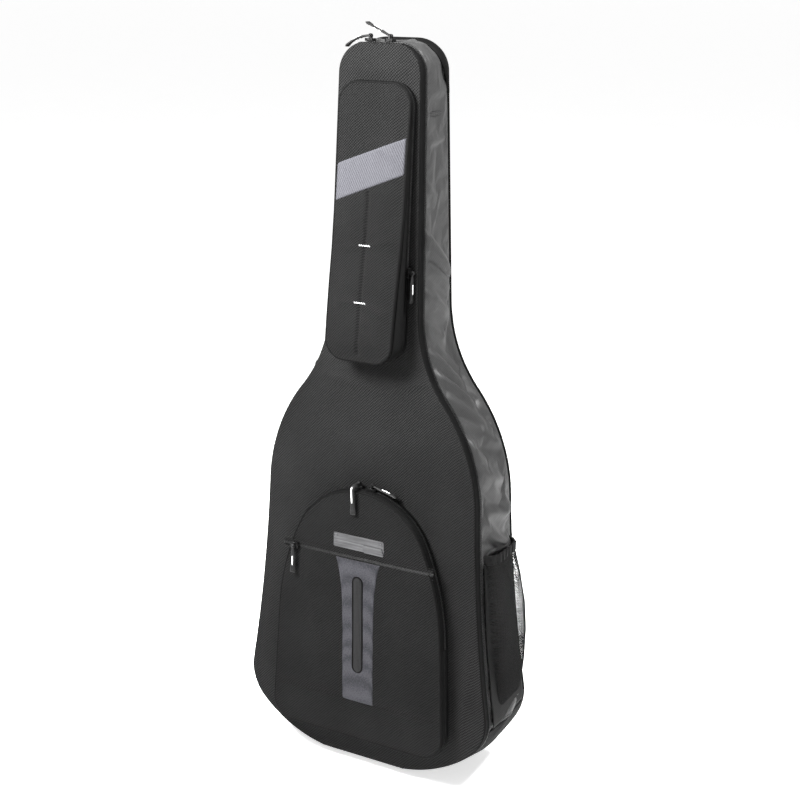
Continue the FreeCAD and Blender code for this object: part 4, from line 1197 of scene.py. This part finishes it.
def make_body_trims():
    # The tapered grey stripe: straight below, then flaring to the zip above.
    profile = [(119, 26), (234, 26), (280, 27), (300, 28.4), (320, 31), (335, 34.4), (344, 37)]
    heights = np.arange(119.6, 344.1, 2.0) * MM
    half = np.interp(heights, [p[0] * MM for p in profile], [p[1] * MM for p in profile])
    across = np.linspace(-1, 1, 25)
    h = heights[:, None] + 0 * across[None, :]
    x = across[None, :] * half[:, None] + drift(h)
    round_edge = 0.7 * MM * (1 - np.abs(across) ** 8)
    depth = body_face(x, h) - 0.5 * MM - round_edge
    stripe = grid("accent_stripe", on_front(np.stack([x, depth, h], axis=-1)), STRIPE_CLOTH)
    thicken(stripe, 1.2 * MM, 1.0)
    bend(stripe,
         ("accent_stripe_upper", "accent_stripe_lower"))
    edge_rows = []
    for side in (-1, 1):
        for inset in mm(1.6, 3.8):
            points = np.stack([side * (half - inset) + drift(heights), heights], axis=1)
            edge_rows.append(stitches("thread", line_on(body_face, points, 1.25 * MM), FORWARD, THREAD,
                                      length=2.8 * MM, pitch=3.8 * MM, radius=0.34 * MM))
    bend(joined("stripe_stitching", edge_rows))

    # The raised slot: a ribbed black insert inside a rounded welt.
    low, high, radius = 176 * MM, 310 * MM, 8 * MM
    angles = np.linspace(0, math.pi, 15)
    loop = np.vstack([[(radius * math.cos(a), high + radius * math.sin(a)) for a in angles],
                      straight(-radius, high - 2 * MM, -radius, low + 2 * MM),
                      [(radius * math.cos(a + math.pi), low + radius * math.sin(a + math.pi)) for a in angles],
                      straight(radius, low + 2 * MM, radius, high - 2 * MM)])
    loop[:, 0] += drift(loop[:, 1])
    welt = sweep("slot_welt", line_on(body_face, loop, 2.0 * MM), circle(1.5 * MM, 10), PIPING, True)
    rows_h = np.concatenate([low + radius * np.sin(np.linspace(-math.pi / 2, 0, 9)),
                             np.linspace(low, high, 56)[1:-1],
                             high + radius * np.sin(np.linspace(0, math.pi / 2, 9))])
    outside = np.maximum(np.maximum(low - rows_h, rows_h - high), 0)
    half = np.sqrt(np.maximum(radius**2 - outside**2, (0.3 * MM) ** 2)) - 0.1 * MM
    across = np.linspace(-1, 1, 13)
    h = rows_h[:, None] + 0 * across[None, :]
    x = across[None, :] * half[:, None] + drift(h)
    pad_lift = 1.5 * MM + 0.9 * MM * (1 - across**2)[None, :]
    insert = grid("slot_pad", on_front(np.stack([x, body_face(x, h) - pad_lift, h], axis=-1)), INSERT)
    thicken(insert, 1.0 * MM, 1.0)
    bend(joined("slot_insert", [insert, welt]),
         ("slot_insert_upper", "slot_insert_lower"))

    # Lower seam, with its cord and double row of thread.
    parts = [sweep("cord", line_on(body_face, straight(-0.140, SEAM_LOW, 0.140, SEAM_LOW), 0.2 * MM),
                   circle(1.0 * MM, 8), PIPING)]
    for shift in mm(-3.2, 3.2):
        line = straight(-0.139, SEAM_LOW + shift, 0.139, SEAM_LOW + shift)
        parts.append(stitches("thread", line_on(body_face, line, 0.1 * MM), FORWARD, THREAD))
    add(joined("body_pocket_low_seam", parts), "front_cover")

    # Flat pocket: a welt over the zip, the zip's tape and its coil.
    left, right = -0.130, 0.124
    line = straight(left, FLAT_ZIP, right, FLAT_ZIP)
    base = line_on(body_face, line, 0.0)
    tape = draped("tape", [(left, FLAT_ZIP - 4.5 * MM), (right, FLAT_ZIP - 4.5 * MM),
                           (right, FLAT_ZIP + 4.5 * MM), (left, FLAT_ZIP + 4.5 * MM)],
                  body_face, 0.3 * MM, TAPE, 80, 5, 0.6 * MM)
    base = base + np.array([0, -0.8 * MM, 0])
    rows = [teeth("row", base, FORWARD, side * 1.1 * MM, 0.8, 0.25 * side, 2.2 * MM) for side in (1, -1)]
    above_zip = straight(left, FLAT_ZIP + 4.6 * MM, right, FLAT_ZIP + 4.6 * MM)
    lip = sweep("lip", line_on(body_face, above_zip, 1.0 * MM), rounded_bar(1.8 * MM, 4.4 * MM), POCKET_CLOTH,
                hint=FORWARD)
    add(joined("flat_pocket_zip_row", [tape, *rows, lip]), "body_flap", ("flat_pocket_zip",))
    levels = [FLAT_ZIP + up for up in mm(9.0, -7.5)]
    seams = [stitches("thread", line_on(body_face, straight(left, level, right, level), 0.15 * MM), FORWARD,
                      THREAD) for level in levels]
    add(joined("flat_pocket_stitching", seams), "body_flap")


def make_badge():
    """Blank brushed plate with a raised right part, held by two small rivets."""
    low, high, x0, x1, thick = 359.5 * MM, 381.5 * MM, -42 * MM, 43 * MM, 1.6 * MM
    surface = float(body_face(np.array([0.0]), np.array([0.370]))[0]) - 0.2 * MM

    def plate(name, corners, front, depth, material):
        outline = []
        for (x, h), start in zip(corners, (180, 270, 0, 90)):
            r = 2.2 * MM
            cx = x + (r if start in (180, 90) else -r)
            ch = h + (r if start in (180, 270) else -r)
            outline += [(cx + r * math.cos(a), ch + r * math.sin(a))
                        for a in (math.radians(start + turned) for turned in (0, 30, 60, 90))]
        rings = [(1.0, 0.0), (1.0, depth - 0.4 * MM), (0.988, depth)]
        centre = np.mean(outline, axis=0)
        places = []
        for size, rise in rings:
            ring = centre + (np.array(outline) - centre) * size
            depths = np.full(len(ring), front - rise)
            places.append(on_front(np.stack([ring[:, 0], depths, ring[:, 1]], axis=1)))
        faces = capped_faces(len(rings), len(outline))
        return make_object(name, np.array(places).reshape(-1, 3), faces, material, smooth=False)

    base = plate("plate", [(x0, low), (x1, low), (x1, high), (x0, high)], surface, thick, METAL)
    raised = plate("raised", [(10 * MM, low - 0.8 * MM), (x1 + 0.6 * MM, low - 0.8 * MM),
                              (x1 - 2.4 * MM, low + 11 * MM), (7 * MM, low + 11 * MM)],
                   surface - thick + 0.2 * MM, 1.2 * MM, METAL)
    rivets = []
    for x in (x0 + 4.5 * MM, x1 - 4.5 * MM):
        rim = on_front([x, surface - thick, high - 4.5 * MM])
        points = [(1.6, 0), (1.6, 0.3), (1.1, 0.7), (0.4, 0.9)]
        rings = [[rim + on_front([r * MM * math.cos(a), -rise * MM, r * MM * math.sin(a)]) - on_front([0, 0, 0])
                  for a in np.arange(12) * math.pi / 6] for r, rise in points]
        places = np.array(rings)
        faces = grid_faces(4, 12, False, True) + [tuple(range(36, 48))]
        rivets.append(make_object("rivet", places.reshape(-1, 3), faces, METAL))
    add(joined("badge", [base, raised, *rivets]), "body_flap", ("badge_plate",))


def make_neck_trims():
    band_corners = [(-0.0530, 0.866), (0.0530, 0.908), (0.0530, 0.957), (-0.0530, 0.917)]
    strip = draped("neck_band", band_corners, neck_face, 0.4 * MM, BAND_CLOTH, 44, 26, 1.0 * MM, 0.6 * MM)
    add(strip, "neck_flap", ("neck_accent_band",))
    threads = []
    for left, right in ((0.866, 0.908), (0.917, 0.957)):
        line = straight(-0.0525, left + 1.6 * MM, 0.0525, right + 1.6 * MM)
        threads.append(stitches("thread", line_on(neck_face, line, 1.05 * MM), FORWARD, THREAD,
                                length=2.6 * MM, pitch=3.6 * MM, radius=0.32 * MM))
    # Two pale bar tacks across the pleat.
    for level in (0.808, 0.729):
        for k in range(9):
            tilt = 0.0008 if k % 2 else -0.0008
            x = (-9 + 2.0 * k) * MM
            line = np.array([(x, level - tilt), (x + 2.0 * MM, level + tilt)])
            flat = line_on(neck_face, line * np.array([0, 1]) + np.array([6 * MM, 0]), 1.6 * MM)
            flat[:, 0] = line[:, 0]
            threads.append(stitches("tack", flat, FORWARD, PALE_THREAD,
                                    length=3.0 * MM, pitch=2.1 * MM, radius=0.7 * MM))
    bend(joined("neck_pocket_threads", threads))
    edges = []
    for x in mm(-2.2, 2.2):
        edges.append(sweep("fold", line_on(neck_face, straight(x, 0.652, x * 1.3, 0.866), -0.1 * MM),
                           circle(0.9 * MM, 8), POCKET_CLOTH))
    bend(joined("neck_pocket_pleat", edges))


# ---------------------------------------------------------------- mesh side pocket

MESH_FRONT, MESH_BACK = -26 * MM, 60 * MM
MESH_LOW, MESH_HIGH = 112 * MM, 358 * MM


def gusset_x(height):
    half = BAG.half(3 * MM)[0]
    half = half[:len(half) // 2 + 40]
    return np.interp(height, half[:, 1], half[:, 0])


def net_surface(y, z):
    """X of the mesh pocket's wall: bulged, and drawn in to the bag at its edges."""
    heights = np.array([112, 150, 190, 235, 280, 320, 358, 372]) * MM
    bulge = np.array([204.5, 212.5, 218.5, 221, 218.5, 210.0, 197.5, 195.0]) * MM
    outer = np.interp(z, heights, bulge)
    inner = gusset_x(z) - 3.0 * MM
    share = (y - MESH_FRONT) / (MESH_BACK - MESH_FRONT)
    round_off = np.clip(1 - np.abs(2 * share - 1) ** 4.5, 0, 1) ** 0.75
    up = np.clip((z - MESH_LOW) / (30 * MM), 0, 1) ** 0.5
    gather = 1.0 * MM * np.sin(y * 2 * math.pi / (11 * MM)) * smooth_step(z, 0.300, 0.356)
    sway = 1.6 * MM * value_noise(y, z, 0.045, 24)
    return inner + 1.0 * MM + (outer - inner - 2.2 * MM + gather + sway) * round_off * up


def make_mesh_pocket():
    strands = []
    pitch, span = 3.3 * MM, MESH_HIGH - MESH_LOW
    width = MESH_BACK - MESH_FRONT
    for lean in (1, -1):
        for start in np.arange(-span, width, pitch * 1.25):
            t = np.arange(0, span + 1e-6, 3.2 * MM)
            y = start + t if lean > 0 else width - start - t
            keep = (y > 0.6 * MM) & (y < width - 0.6 * MM)
            if keep.sum() < 3:
                continue
            y, z = MESH_FRONT + y[keep], MESH_LOW + t[keep]
            weave = 0.25 * MM * lean
            path = np.stack([net_surface(y, z) + weave, y, z], axis=1)
            strands.append(sweep("strand", path, circle(0.46 * MM, 4), NET, hint=(1, 0, 0)))
    # A near-black sheet laid over the side panel behind the net: painted shade inside the pocket.
    share, z = np.meshgrid(np.linspace(0, 1, 30), np.linspace(MESH_LOW - 3 * MM, MESH_HIGH, 60))
    seam = mouth_y(z, 19 * MM)
    y = seam + (MESH_BACK - 1 * MM - seam) * share
    behind = gusset_x(z) + 1.6 * MM + 0.8 * MM * value_noise(y, z, 0.04, 27)
    shaded_backing = grid("shaded_backing", np.stack([behind, y, z], axis=-1), GUSSET_CLOTH, flip=True)
    thicken(shaded_backing, 1 * MM)
    net = joined("mesh_net", [*strands, shaded_backing])
    add(net, "shell", ("mesh_pocket",))

    # Elastic hem, gathered, and the tape that binds the other three edges.
    y = np.arange(MESH_FRONT - 1 * MM, MESH_BACK + 1 * MM, 1.2 * MM)
    parts = []
    z = np.full_like(y, 0.3635)
    pinch = 0.7 * MM * np.sin(y * 2 * math.pi / (4.2 * MM)) + 0.3 * MM * np.sin(y * 2 * math.pi / (2.9 * MM))
    x = net_surface(np.clip(y, MESH_FRONT, MESH_BACK), z) + 0.4 * MM
    path = np.stack([x, y, z + 0.3 * pinch], axis=1)
    scale = np.stack([1 + pinch / (2.2 * MM) * 0.35, np.ones_like(y)], axis=1)
    parts.append(sweep("hem", path, rounded_bar(3.0 * MM, 14.5 * MM, 0.4), BINDING, hint=(1, 0, 0),
                       scale=scale))
    corner = 22 * MM
    tape = [(MESH_FRONT, 0.352), (MESH_FRONT, 0.250), (MESH_FRONT, MESH_LOW + corner),
            (MESH_FRONT + 6 * MM, MESH_LOW + 6 * MM), (MESH_FRONT + corner, MESH_LOW),
            (MESH_BACK - corner, MESH_LOW), (MESH_BACK - 6 * MM, MESH_LOW + 6 * MM),
            (MESH_BACK, MESH_LOW + corner), (MESH_BACK, 0.250), (MESH_BACK, 0.352)]
    line = smooth_path(tape, 9)
    places = np.stack([gusset_x(line[:, 1]) - 1.0 * MM, line[:, 0], line[:, 1]], axis=1)
    parts.append(sweep("edge", places, rounded_bar(2.4 * MM, 8 * MM, 0.4), BINDING, hint=(1, 0, 0)))
    add(joined("mesh_hem", parts), "shell", ("mesh_pocket_hem",))


# ---------------------------------------------------------------- zip sliders and pulls

FRONT_FRAME = Matrix.Translation((0, -HALF_DEPTH, 0)) @ Matrix.Rotation(-LEAN, 4, "X")
PIVOT = 7.6 * MM


def turn(axis, degrees):
    return Matrix.Rotation(math.radians(degrees), 4, axis)


def front_at(x, depth, height):
    return FRONT_FRAME @ Matrix.Translation((x, depth, height))


def at_arch(degrees):
    """Frame on the body pocket's arch: X along it, Z out of it."""
    radius, centre = 116 * MM, 334 * MM
    angle = math.radians(degrees)
    place = front_at(radius * math.sin(angle), -BODY_SPLIT, centre + radius * math.cos(angle))
    return place @ turn("Y", degrees)


def placed(piece, frame_matrix):
    piece.data.transform(frame_matrix)
    piece.data.update()
    return piece


def make_pull(name, frame_matrix, path):
    """Moulded pull: an eye on the slider's bar, a tapering grip and a pale inlay down each broad face."""
    path = smooth_path(np.array(path) * MM, 5)
    run = np.concatenate([[0], np.cumsum(np.linalg.norm(np.diff(path, axis=0), axis=1))])
    share = run / run[-1]
    half = np.interp(share, [0, 0.12, 0.2, 0.3, 0.62, 0.82, 0.97, 1.0],
                     [1.9, 2.1, 3.0, 3.3, 3.3, 4.0, 5.0, 4.3])
    thick = np.interp(share, [0, 0.2, 0.3, 0.9, 0.97, 1.0], [1.5, 1.6, 1.75, 1.75, 1.6, 0.9])
    scale = np.stack([half, thick], axis=1)
    grip = sweep(name, path, rounded_bar(2 * MM, 2 * MM, 0.42), RUBBER, hint=(1, 0, 0), scale=scale)
    eye_path = np.array([(0, 2.35 * MM * math.cos(a), 2.35 * MM * math.sin(a))
                         for a in np.arange(24) * math.pi / 12])
    eye = sweep("eye", eye_path, rounded_bar(4.6 * MM, 1.3 * MM, 0.45), RUBBER, True, hint=(1, 0, 0))
    _, side, other = frames_along(path, False, (1, 0, 0))
    inside = (share > 0.30) & (share < 0.74)
    parts = [grip, eye]
    for sign in (1, -1):
        line = path[inside] + other[inside] * (sign * 1.72 * MM)
        parts.append(sweep("inlay", line, rounded_bar(2.1 * MM, 0.7 * MM, 0.4), WHITE, hint=(1, 0, 0)))
    for k in range(4):
        at = np.argmin(np.abs(share - 0.885 - 0.026 * k))
        for sign in (1, -1):
            bar = np.array([path[at] + side[at] * s + other[at] * (sign * 1.7 * MM)
                            for s in np.linspace(-3.2, 3.2, 4) * MM])
            parts.append(sweep("rib", bar, circle(0.35 * MM, 6), RUBBER, hint=(0, 0, 1)))
    return placed(joined(name, parts), frame_matrix)


HANGING = [(0, 0, -2.2), (0, 0, -8), (0, 0.3, -18), (0, 0.2, -30), (0, 0, -42)]
DRAPED = [(0, -55 * (1 - math.cos(a / 55)), -55 * math.sin(a / 55)) for a in (2.2, 8, 16, 25, 34, 42)]
BENT = [(0, -2.2, 0), (0, -8, 0.2), (0, -15.5, 0), (0, -20.2, -2.6), (0, -21.5, -8), (0, -21.5, -24),
        (0, -21.5, -42)]


def make_zips_hardware():
    top = FRONT_HEIGHT + 0.3 * MM
    eye = Matrix.Translation((0, 0, PIVOT))
    left, right = front_at(-float(FRONT.end[0]), MOUTH, top), front_at(8 * MM, MOUTH, top)
    fold_width = 54 * MM + (NECK_FOLD - 674 * MM) * math.tan(math.radians(NECK_TAPER)) + 1.0 * MM
    neck = front_at(fold_width, -NECK_SPLIT, NECK_FOLD) @ turn("Y", 90 + NECK_TAPER)
    flat = front_at(-109 * MM, -BODY_DEPTH - 1 * MM, FLAT_ZIP) @ turn("X", 90)
    turned_front = FRONT_FRAME.to_3x3().to_4x4()
    pulls = {
        "main_pull_left": (left @ eye @ turn("Y", 90) @ turn("Z", 90), DRAPED),
        "main_pull_right": (right @ eye @ turn("Y", 115) @ turn("Z", 90), HANGING),
        "neck_pull": (Matrix.Translation(neck @ Vector((0, 0, PIVOT))) @ turned_front @ turn("Z", 90),
                      HANGING),
        "body_pull_left": (at_arch(-4.5) @ eye, BENT),
        "body_pull_right": (at_arch(6) @ eye @ turn("Y", -82) @ turn("Z", 90), HANGING),
        "flat_pull": (Matrix.Translation(flat @ Vector((0, 0, PIVOT))) @ turned_front, HANGING),
    }
    for name, (place, path) in pulls.items():
        add(make_pull(f"{name}_moulded", place, path), name, (name,))
    for name in ("main_slider_left", "main_slider_right", "neck_slider", "body_slider_left",
                 "body_slider_right", "flat_slider"):
        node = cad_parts[name]
        node.data.materials.clear()
        node.data.materials.append(ENAMEL)
        join = node.modifiers.new("weld", "WELD")
        join.merge_threshold = 0.02 * MM
        bevel = node.modifiers.new("bevel", "BEVEL")
        bevel.width = 0.5 * MM
        bevel.segments = 3
        bevel.limit_method = "ANGLE"
        bevel.angle_limit = math.radians(30)


# ---------------------------------------------------------------- straps, handle and loop

def strap_frame(x, height, degrees):
    """Frame on the back with X across a strap, Y out of the back and Z up the strap."""
    return Matrix.Translation((x, HALF_DEPTH, height)) @ Matrix.Rotation(math.radians(degrees), 4, "Y")


def make_straps():
    top, foot, width = 770 * MM, 430 * MM, 56 * MM
    for side, label in ((1, "shoulder_strap_right"), (-1, "shoulder_strap_left")):
        place = strap_frame(side * 30 * MM, top, -side * 6)
        down = np.linspace(0, top - foot, 60)
        bow = np.sin(np.clip(np.pi * down / (top - foot), 0, 3.1415))
        inner = 2.4 * MM + 9 * MM * bow
        thick = (6.4 + 3.2 * bow ** 0.7) * MM
        across = np.linspace(-1, 1, 23)
        # The strap narrows to a rounded foot over its last 26 mm.
        past = [max(0, s - (top - foot) + 26 * MM) for s in down]
        ends = [min(1.0, math.sqrt(max(0.0, 1 - reach ** 2 / (27 * MM) ** 2))) for reach in past]
        halves = [width / 2 * (0.62 + 0.38 * end) for end in ends]
        rings = []
        for i, (s, half) in enumerate(zip(down, halves)):
            puff = thick[i] * (0.38 + 0.62 * np.sqrt(np.clip(1 - across**4, 0, 1)))
            front = [(a * half, inner[i] + puff[j], -s) for j, a in enumerate(across)]
            back = [(a * half, inner[i], -s) for a in across[::-1]]
            rings.append(front + back)
        places = np.array(rings)
        faces = capped_faces(*places.shape[:2], True)
        pad = make_object(f"{label}_pad", places.reshape(-1, 3), faces, STRAP_CLOTH)
        pad.data.materials.append(AIR_MESH)
        for face in pad.data.polygons:
            if face.center.y < 0.5 * MM + np.interp(-face.center.z, down, inner):
                face.material_index = 1
        edge = []
        for sign in (1, -1):
            path = np.stack([sign * np.array(halves), inner + thick * 0.22, -down], axis=1)
            edge.append(sweep("edge", path, rounded_bar(3.4 * MM, 4.6 * MM, 0.45), BINDING, hint=(1, 0, 0)))
            path = np.stack([sign * (np.array(halves) - 7 * MM),
                             inner + thick * (0.38 + 0.62 * math.sqrt(1 - 0.77**4)) + 0.1 * MM, -down], axis=1)
            edge.append(stitches("thread", path, (0, 1, 0), THREAD))
        middle = np.stack([0 * down, inner + thick + 0.4 * MM, -down], axis=1)
        keep = down < top - foot - 1 * MM
        edge.append(sweep("web", middle[keep], rounded_bar(25 * MM, 1.6 * MM, 0.4), WEBBING, hint=(1, 0, 0)))
        for sign in mm(-10, 10):
            edge.append(stitches("thread", middle[keep] + np.array([sign, 0.9 * MM, 0]), (0, 1, 0), THREAD))
        piece = placed(joined(f"{label}_padded", [pad, *edge]), place)
        add(piece, "shell", (label,))

        run = strap_frame(side * (30 + 340 * math.sin(math.radians(6))) * MM, foot, -side * 13)
        drop = np.linspace(-18, 268, 70) * MM
        flutter = 0.5 * MM * np.sin(drop * 60)
        web = sweep("webbing", np.stack([0 * drop, 4.2 * MM + flutter, -drop], axis=1),
                    rounded_bar(25 * MM, 2.0 * MM, 0.4), WEBBING, hint=(1, 0, 0))
        free = drop[10:34]
        tail = np.stack([0 * free, 6.6 * MM + 0.8 * MM * np.sin(free * 40), -free], axis=1)
        loose = sweep("tail", tail, rounded_bar(25 * MM, 2.0 * MM, 0.4), WEBBING, hint=(1, 0, 0))
        add(placed(joined(f"strap_webbing_{label[15:]}", [web, loose]), run), "shell",
            ("strap_webbing",) if side > 0 else ())
        lock = []
        for z in (-2, -10, -17.5, -25):
            bar = np.array([(-16.5, 7.0, z), (0, 7.6, z), (16.5, 7.0, z)]) * MM
            lock.append(sweep("bar", bar, rounded_bar(5.2 * MM, 3.6 * MM, 0.4), BUCKLE, hint=(0, 1, 0)))
        for x in (-15.8, 15.8):
            rail = np.array([(x * MM, 6.8 * MM, -0.5 * MM), (x * MM, 7.4 * MM, -13 * MM),
                             (x * MM, 6.8 * MM, -26.5 * MM)])
            lock.append(sweep("rail", smooth_path(rail, 4), rounded_bar(3.4 * MM, 5.4 * MM, 0.4), BUCKLE,
                              hint=(1, 0, 0)))
        add(placed(joined(f"ladder_lock_{label[15:]}", lock), run), "shell",
            ("ladder_locks",) if side > 0 else ())
        rows_z = np.linspace(-254, -294, 9) * MM
        tab = np.stack([0 * rows_z, np.full(9, 1.6 * MM), rows_z], axis=1)
        box = np.array([(x, 3.0, z) for x, z in ((-12, -284), (12, -284), (12, -264), (-12, -264), (-12, -284),
                                                 (12, -264), (12, -284), (-12, -264))]) * MM
        patch = [sweep("patch", tab, rounded_bar(44 * MM, 2.6 * MM, 0.35), BACK_CLOTH, hint=(1, 0, 0)),
                 stitches("box", box, (0, 1, 0), THREAD, length=3.0 * MM, pitch=3.4 * MM)]
        add(placed(joined(f"strap_anchor_{label[15:]}", patch), run), "shell",
            ("strap_anchors",) if side > 0 else ())

    # Yoke over the tops of both straps.
    heights = np.linspace(top + 1 * MM, top + 42 * MM, 12)
    half = np.interp(heights, [top, top + 42 * MM], mm(65, 55))
    across = np.linspace(-1, 1, 41)
    x = across[None, :] * half[:, None]
    z = heights[:, None] + 0 * x
    rise = 3.2 * MM * np.sin(np.pi * np.linspace(0.12, 0.88, 12))[:, None] * (1 - across[None, :] ** 8)
    yoke = grid("yoke", np.stack([x, HALF_DEPTH + 1.2 * MM + rise, z], axis=-1), STRAP_CLOTH, flip=True)
    thicken(yoke, 2 * MM)
    threads = [stitches("thread", np.stack([np.linspace(-w, w, 50), np.full(50, HALF_DEPTH + 4.2 * MM),
                                            np.full(50, z0)], axis=1), (0, 1, 0), THREAD)
               for z0, w in ((top + 8 * MM, 58 * MM), (top + 36 * MM, 50 * MM))]
    add(joined("strap_yoke_panel", [yoke, *threads]), "shell", ("strap_yoke",))


def make_handle():
    y, low, high = 32 * MM, 300 * MM, 456 * MM
    points = np.array([(-189, 302.5), (-195, 305), (-202, 316), (-206.3, 332), (-206.5, 355), (-206.5, 378),
                       (-206.5, 401), (-206.3, 424), (-202, 440), (-195, 451), (-189, 453.5)]) * MM
    line = smooth_path(points, 5)
    path = np.stack([line[:, 0], np.full(len(line), y), line[:, 1]], axis=1)
    share = np.linspace(0, 1, len(path))
    narrow = 0.5 + 0.5 * smooth_step(np.minimum(share, 1 - share), 0.03, 0.12)
    webbing = sweep("handle_web", path, rounded_bar(25 * MM, 2.8 * MM, 0.4), WEBBING, hint=(0, 1, 0),
                    scale=np.stack([narrow, np.ones_like(narrow)], axis=1))
    threads = [stitches("thread", path[6:-6] + np.array([-1.6 * MM, s, 0]), (-1, 0, 0), THREAD)
               for s in mm(-9, 9)]
    add(joined("side_handle_strap", [webbing, *threads]), "side_handle", ("side_handle_webbing",))
    middle, length = (low + high) / 2, 92 * MM
    along = np.linspace(-0.5, 0.5, 74)
    ridge = 1 + 0.055 * np.cos(along * 2 * math.pi * 15) * (np.abs(along) < 0.42)
    taper = np.sqrt(np.clip(1 - (np.abs(along) * 2) ** 12, 0.25, 1))
    sleeve = np.stack([np.full(74, -206.5 * MM), np.full(74, y), middle + along * length], axis=1)
    grip = sweep("handle_sleeve", sleeve, rounded_bar(31 * MM, 11 * MM, 0.46), RUBBER, hint=(0, 1, 0),
                 scale=np.stack([ridge * taper, ridge * taper], axis=1))
    add(grip, "side_handle", ("side_handle_grip",))
    patches = []
    for z in (low, high):
        x = -float(gusset_x(z)) + 0.5 * MM
        lean = float(gusset_x(z + 17 * MM) - gusset_x(z - 17 * MM))
        rows_z = np.linspace(-17, 17, 9) * MM
        tab = np.stack([x - lean * rows_z / (34 * MM) + 0 * rows_z, np.full(9, y), z + rows_z], axis=1)
        patches.append(sweep("patch", tab, rounded_bar(30 * MM, 3.4 * MM, 0.35), WEBBING, hint=(0, 1, 0)))
        corners = [(-11, -13), (11, -13), (11, 13), (-11, 13), (-11, -13), (11, 13), (11, -13), (-11, 13)]
        cross = np.array([(x - lean * c[1] / 34 - 2.0 * MM, y + c[0] * MM, z + c[1] * MM) for c in corners])
        patches.append(stitches("box", cross, (-1, 0, 0), THREAD, length=3.0 * MM, pitch=3.4 * MM))
    add(joined("handle_patches", patches), "shell", ("handle_anchors",))


def make_hang_loop():
    y = HALF_DEPTH + 3.4 * MM
    points = [(-24, 1051), (-24, 1030), (-24, 1005), (-23.4, 990), (-19, 981), (-10, 977), (0, 976), (10, 977),
              (19, 981), (23.4, 990), (24, 1005), (24, 1030), (24, 1051)]
    line = smooth_path(np.array(points) * MM, 5)
    sway = 1.0 * MM * np.sin((1.051 - line[:, 1]) / 0.075 * math.pi)
    path = np.stack([line[:, 0], y + sway, line[:, 1]], axis=1)
    loop = sweep("loop_webbing", path, rounded_bar(2.8 * MM, 19 * MM, 0.4), WEBBING, hint=(0, 1, 0))
    _, side, other = frames_along(path, False, (0, 1, 0))
    threads = [stitches("thread", path + other * shift + side * 1.6 * MM, (0, 1, 0), THREAD)
               for shift in mm(-6.5, 6.5)]
    add(joined("hang_loop_webbing", [loop, *threads]), "hang_loop", ("hang_loop",))


# ---------------------------------------------------------------- stage, light and camera

def make_stage():
    # The floor's far rim turns up, so that the horizon stays out of sight.
    corners = [(-1, -1), (1, -1), (1, 1), (-1, 1)]
    flat, rim, rim_height = 80, 90, 14
    places = [(flat * x, flat * y, -0.001) for x, y in corners] + [(rim * x, rim * y, rim_height) for x, y in corners]
    faces = [(0, 1, 2, 3), (0, 4, 5, 1), (1, 5, 6, 2), (2, 6, 7, 3), (3, 7, 4, 0)]
    floor = make_object("floor", places, faces, bpy.data.materials.new("floor"), smooth=False)
    n = Nodes("pale_floor")
    floor.data.materials[0] = n.finish(n.ramp(n.noise(3.0, 2.0), 0.3, 0.86, 0.7, 0.88), None, 0.9,
                                       emission_color=(1, 1, 1, 1), emission_strength=0.64)
    world = bpy.data.worlds.new("studio")
    world.use_nodes = True
    world.node_tree.nodes["Background"].inputs["Color"].default_value = (1, 1, 1, 1)
    world.node_tree.nodes["Background"].inputs["Strength"].default_value = 0.36
    bpy.context.scene.world = world

    def lamp(name, place, target, size, power):
        light = bpy.data.lights.new(name, "AREA")
        light.shape = "RECTANGLE"
        light.size, light.size_y = size
        light.energy = power
        holder = bpy.data.objects.new(name, light)
        holder.location = place
        holder.rotation_euler = (Vector(target) - Vector(place)).to_track_quat("-Z", "Y").to_euler()
        bpy.context.scene.collection.objects.link(holder)

    lamp("key", (1.35, 0.35, 2.7), (0.12, 0, 0.70), (0.5, 0.5), 150)
    lamp("neck", (-0.40, -0.80, 1.40), (0, -0.03, 0.92), (0.45, 0.45), 62)
    lamp("front", (-0.9, -2.6, 1.7), (0, 0, 0.5), (1.6, 1.6), 10)
    lamp("top", (0.1, -0.4, 3.0), (0, 0, 0.6), (2.0, 2.0), 42)
    bpy.context.scene.view_settings.view_transform = "Standard"


def make_camera():
    azimuth, elevation, distance = math.radians(29.37), math.radians(17.48), 2.096
    back = Vector((math.sin(azimuth) * math.cos(elevation), -math.cos(azimuth) * math.cos(elevation),
                   math.sin(elevation)))
    target = Vector((0.0229 * math.cos(azimuth), 0.0229 * math.sin(azimuth), 0.5702))
    data = bpy.data.cameras.new("camera")
    data.lens, data.sensor_width = 64.44, 36
    data.clip_start = 0.05
    camera = bpy.data.objects.new("camera", data)
    camera.location = target + back * distance
    camera.rotation_euler = (-back).to_track_quat("-Z", "Y").to_euler()
    bpy.context.scene.collection.objects.link(camera)
    bpy.context.scene.camera = camera


make_cover()
make_main_zip()
make_cover_lining()
make_sides()
make_back()
make_inside()
make_neck_rest()
make_pocket("body_pocket", BODY, BODY_LOOP, BODY_NORMALS, body_depth, BODY_SPLIT, BODY_BEND, body_face,
            230 * MM, (0.112, 0.138, 0.0008))
make_pocket("neck_pocket", NECK, NECK_LOOP, NECK_NORMALS, neck_depth, NECK_SPLIT, NECK_BEND, neck_face,
            769 * MM, None)
make_body_trims()
make_badge()
make_neck_trims()
make_mesh_pocket()
make_zips_hardware()
make_straps()
make_handle()
make_hang_loop()
make_stage()
make_camera()
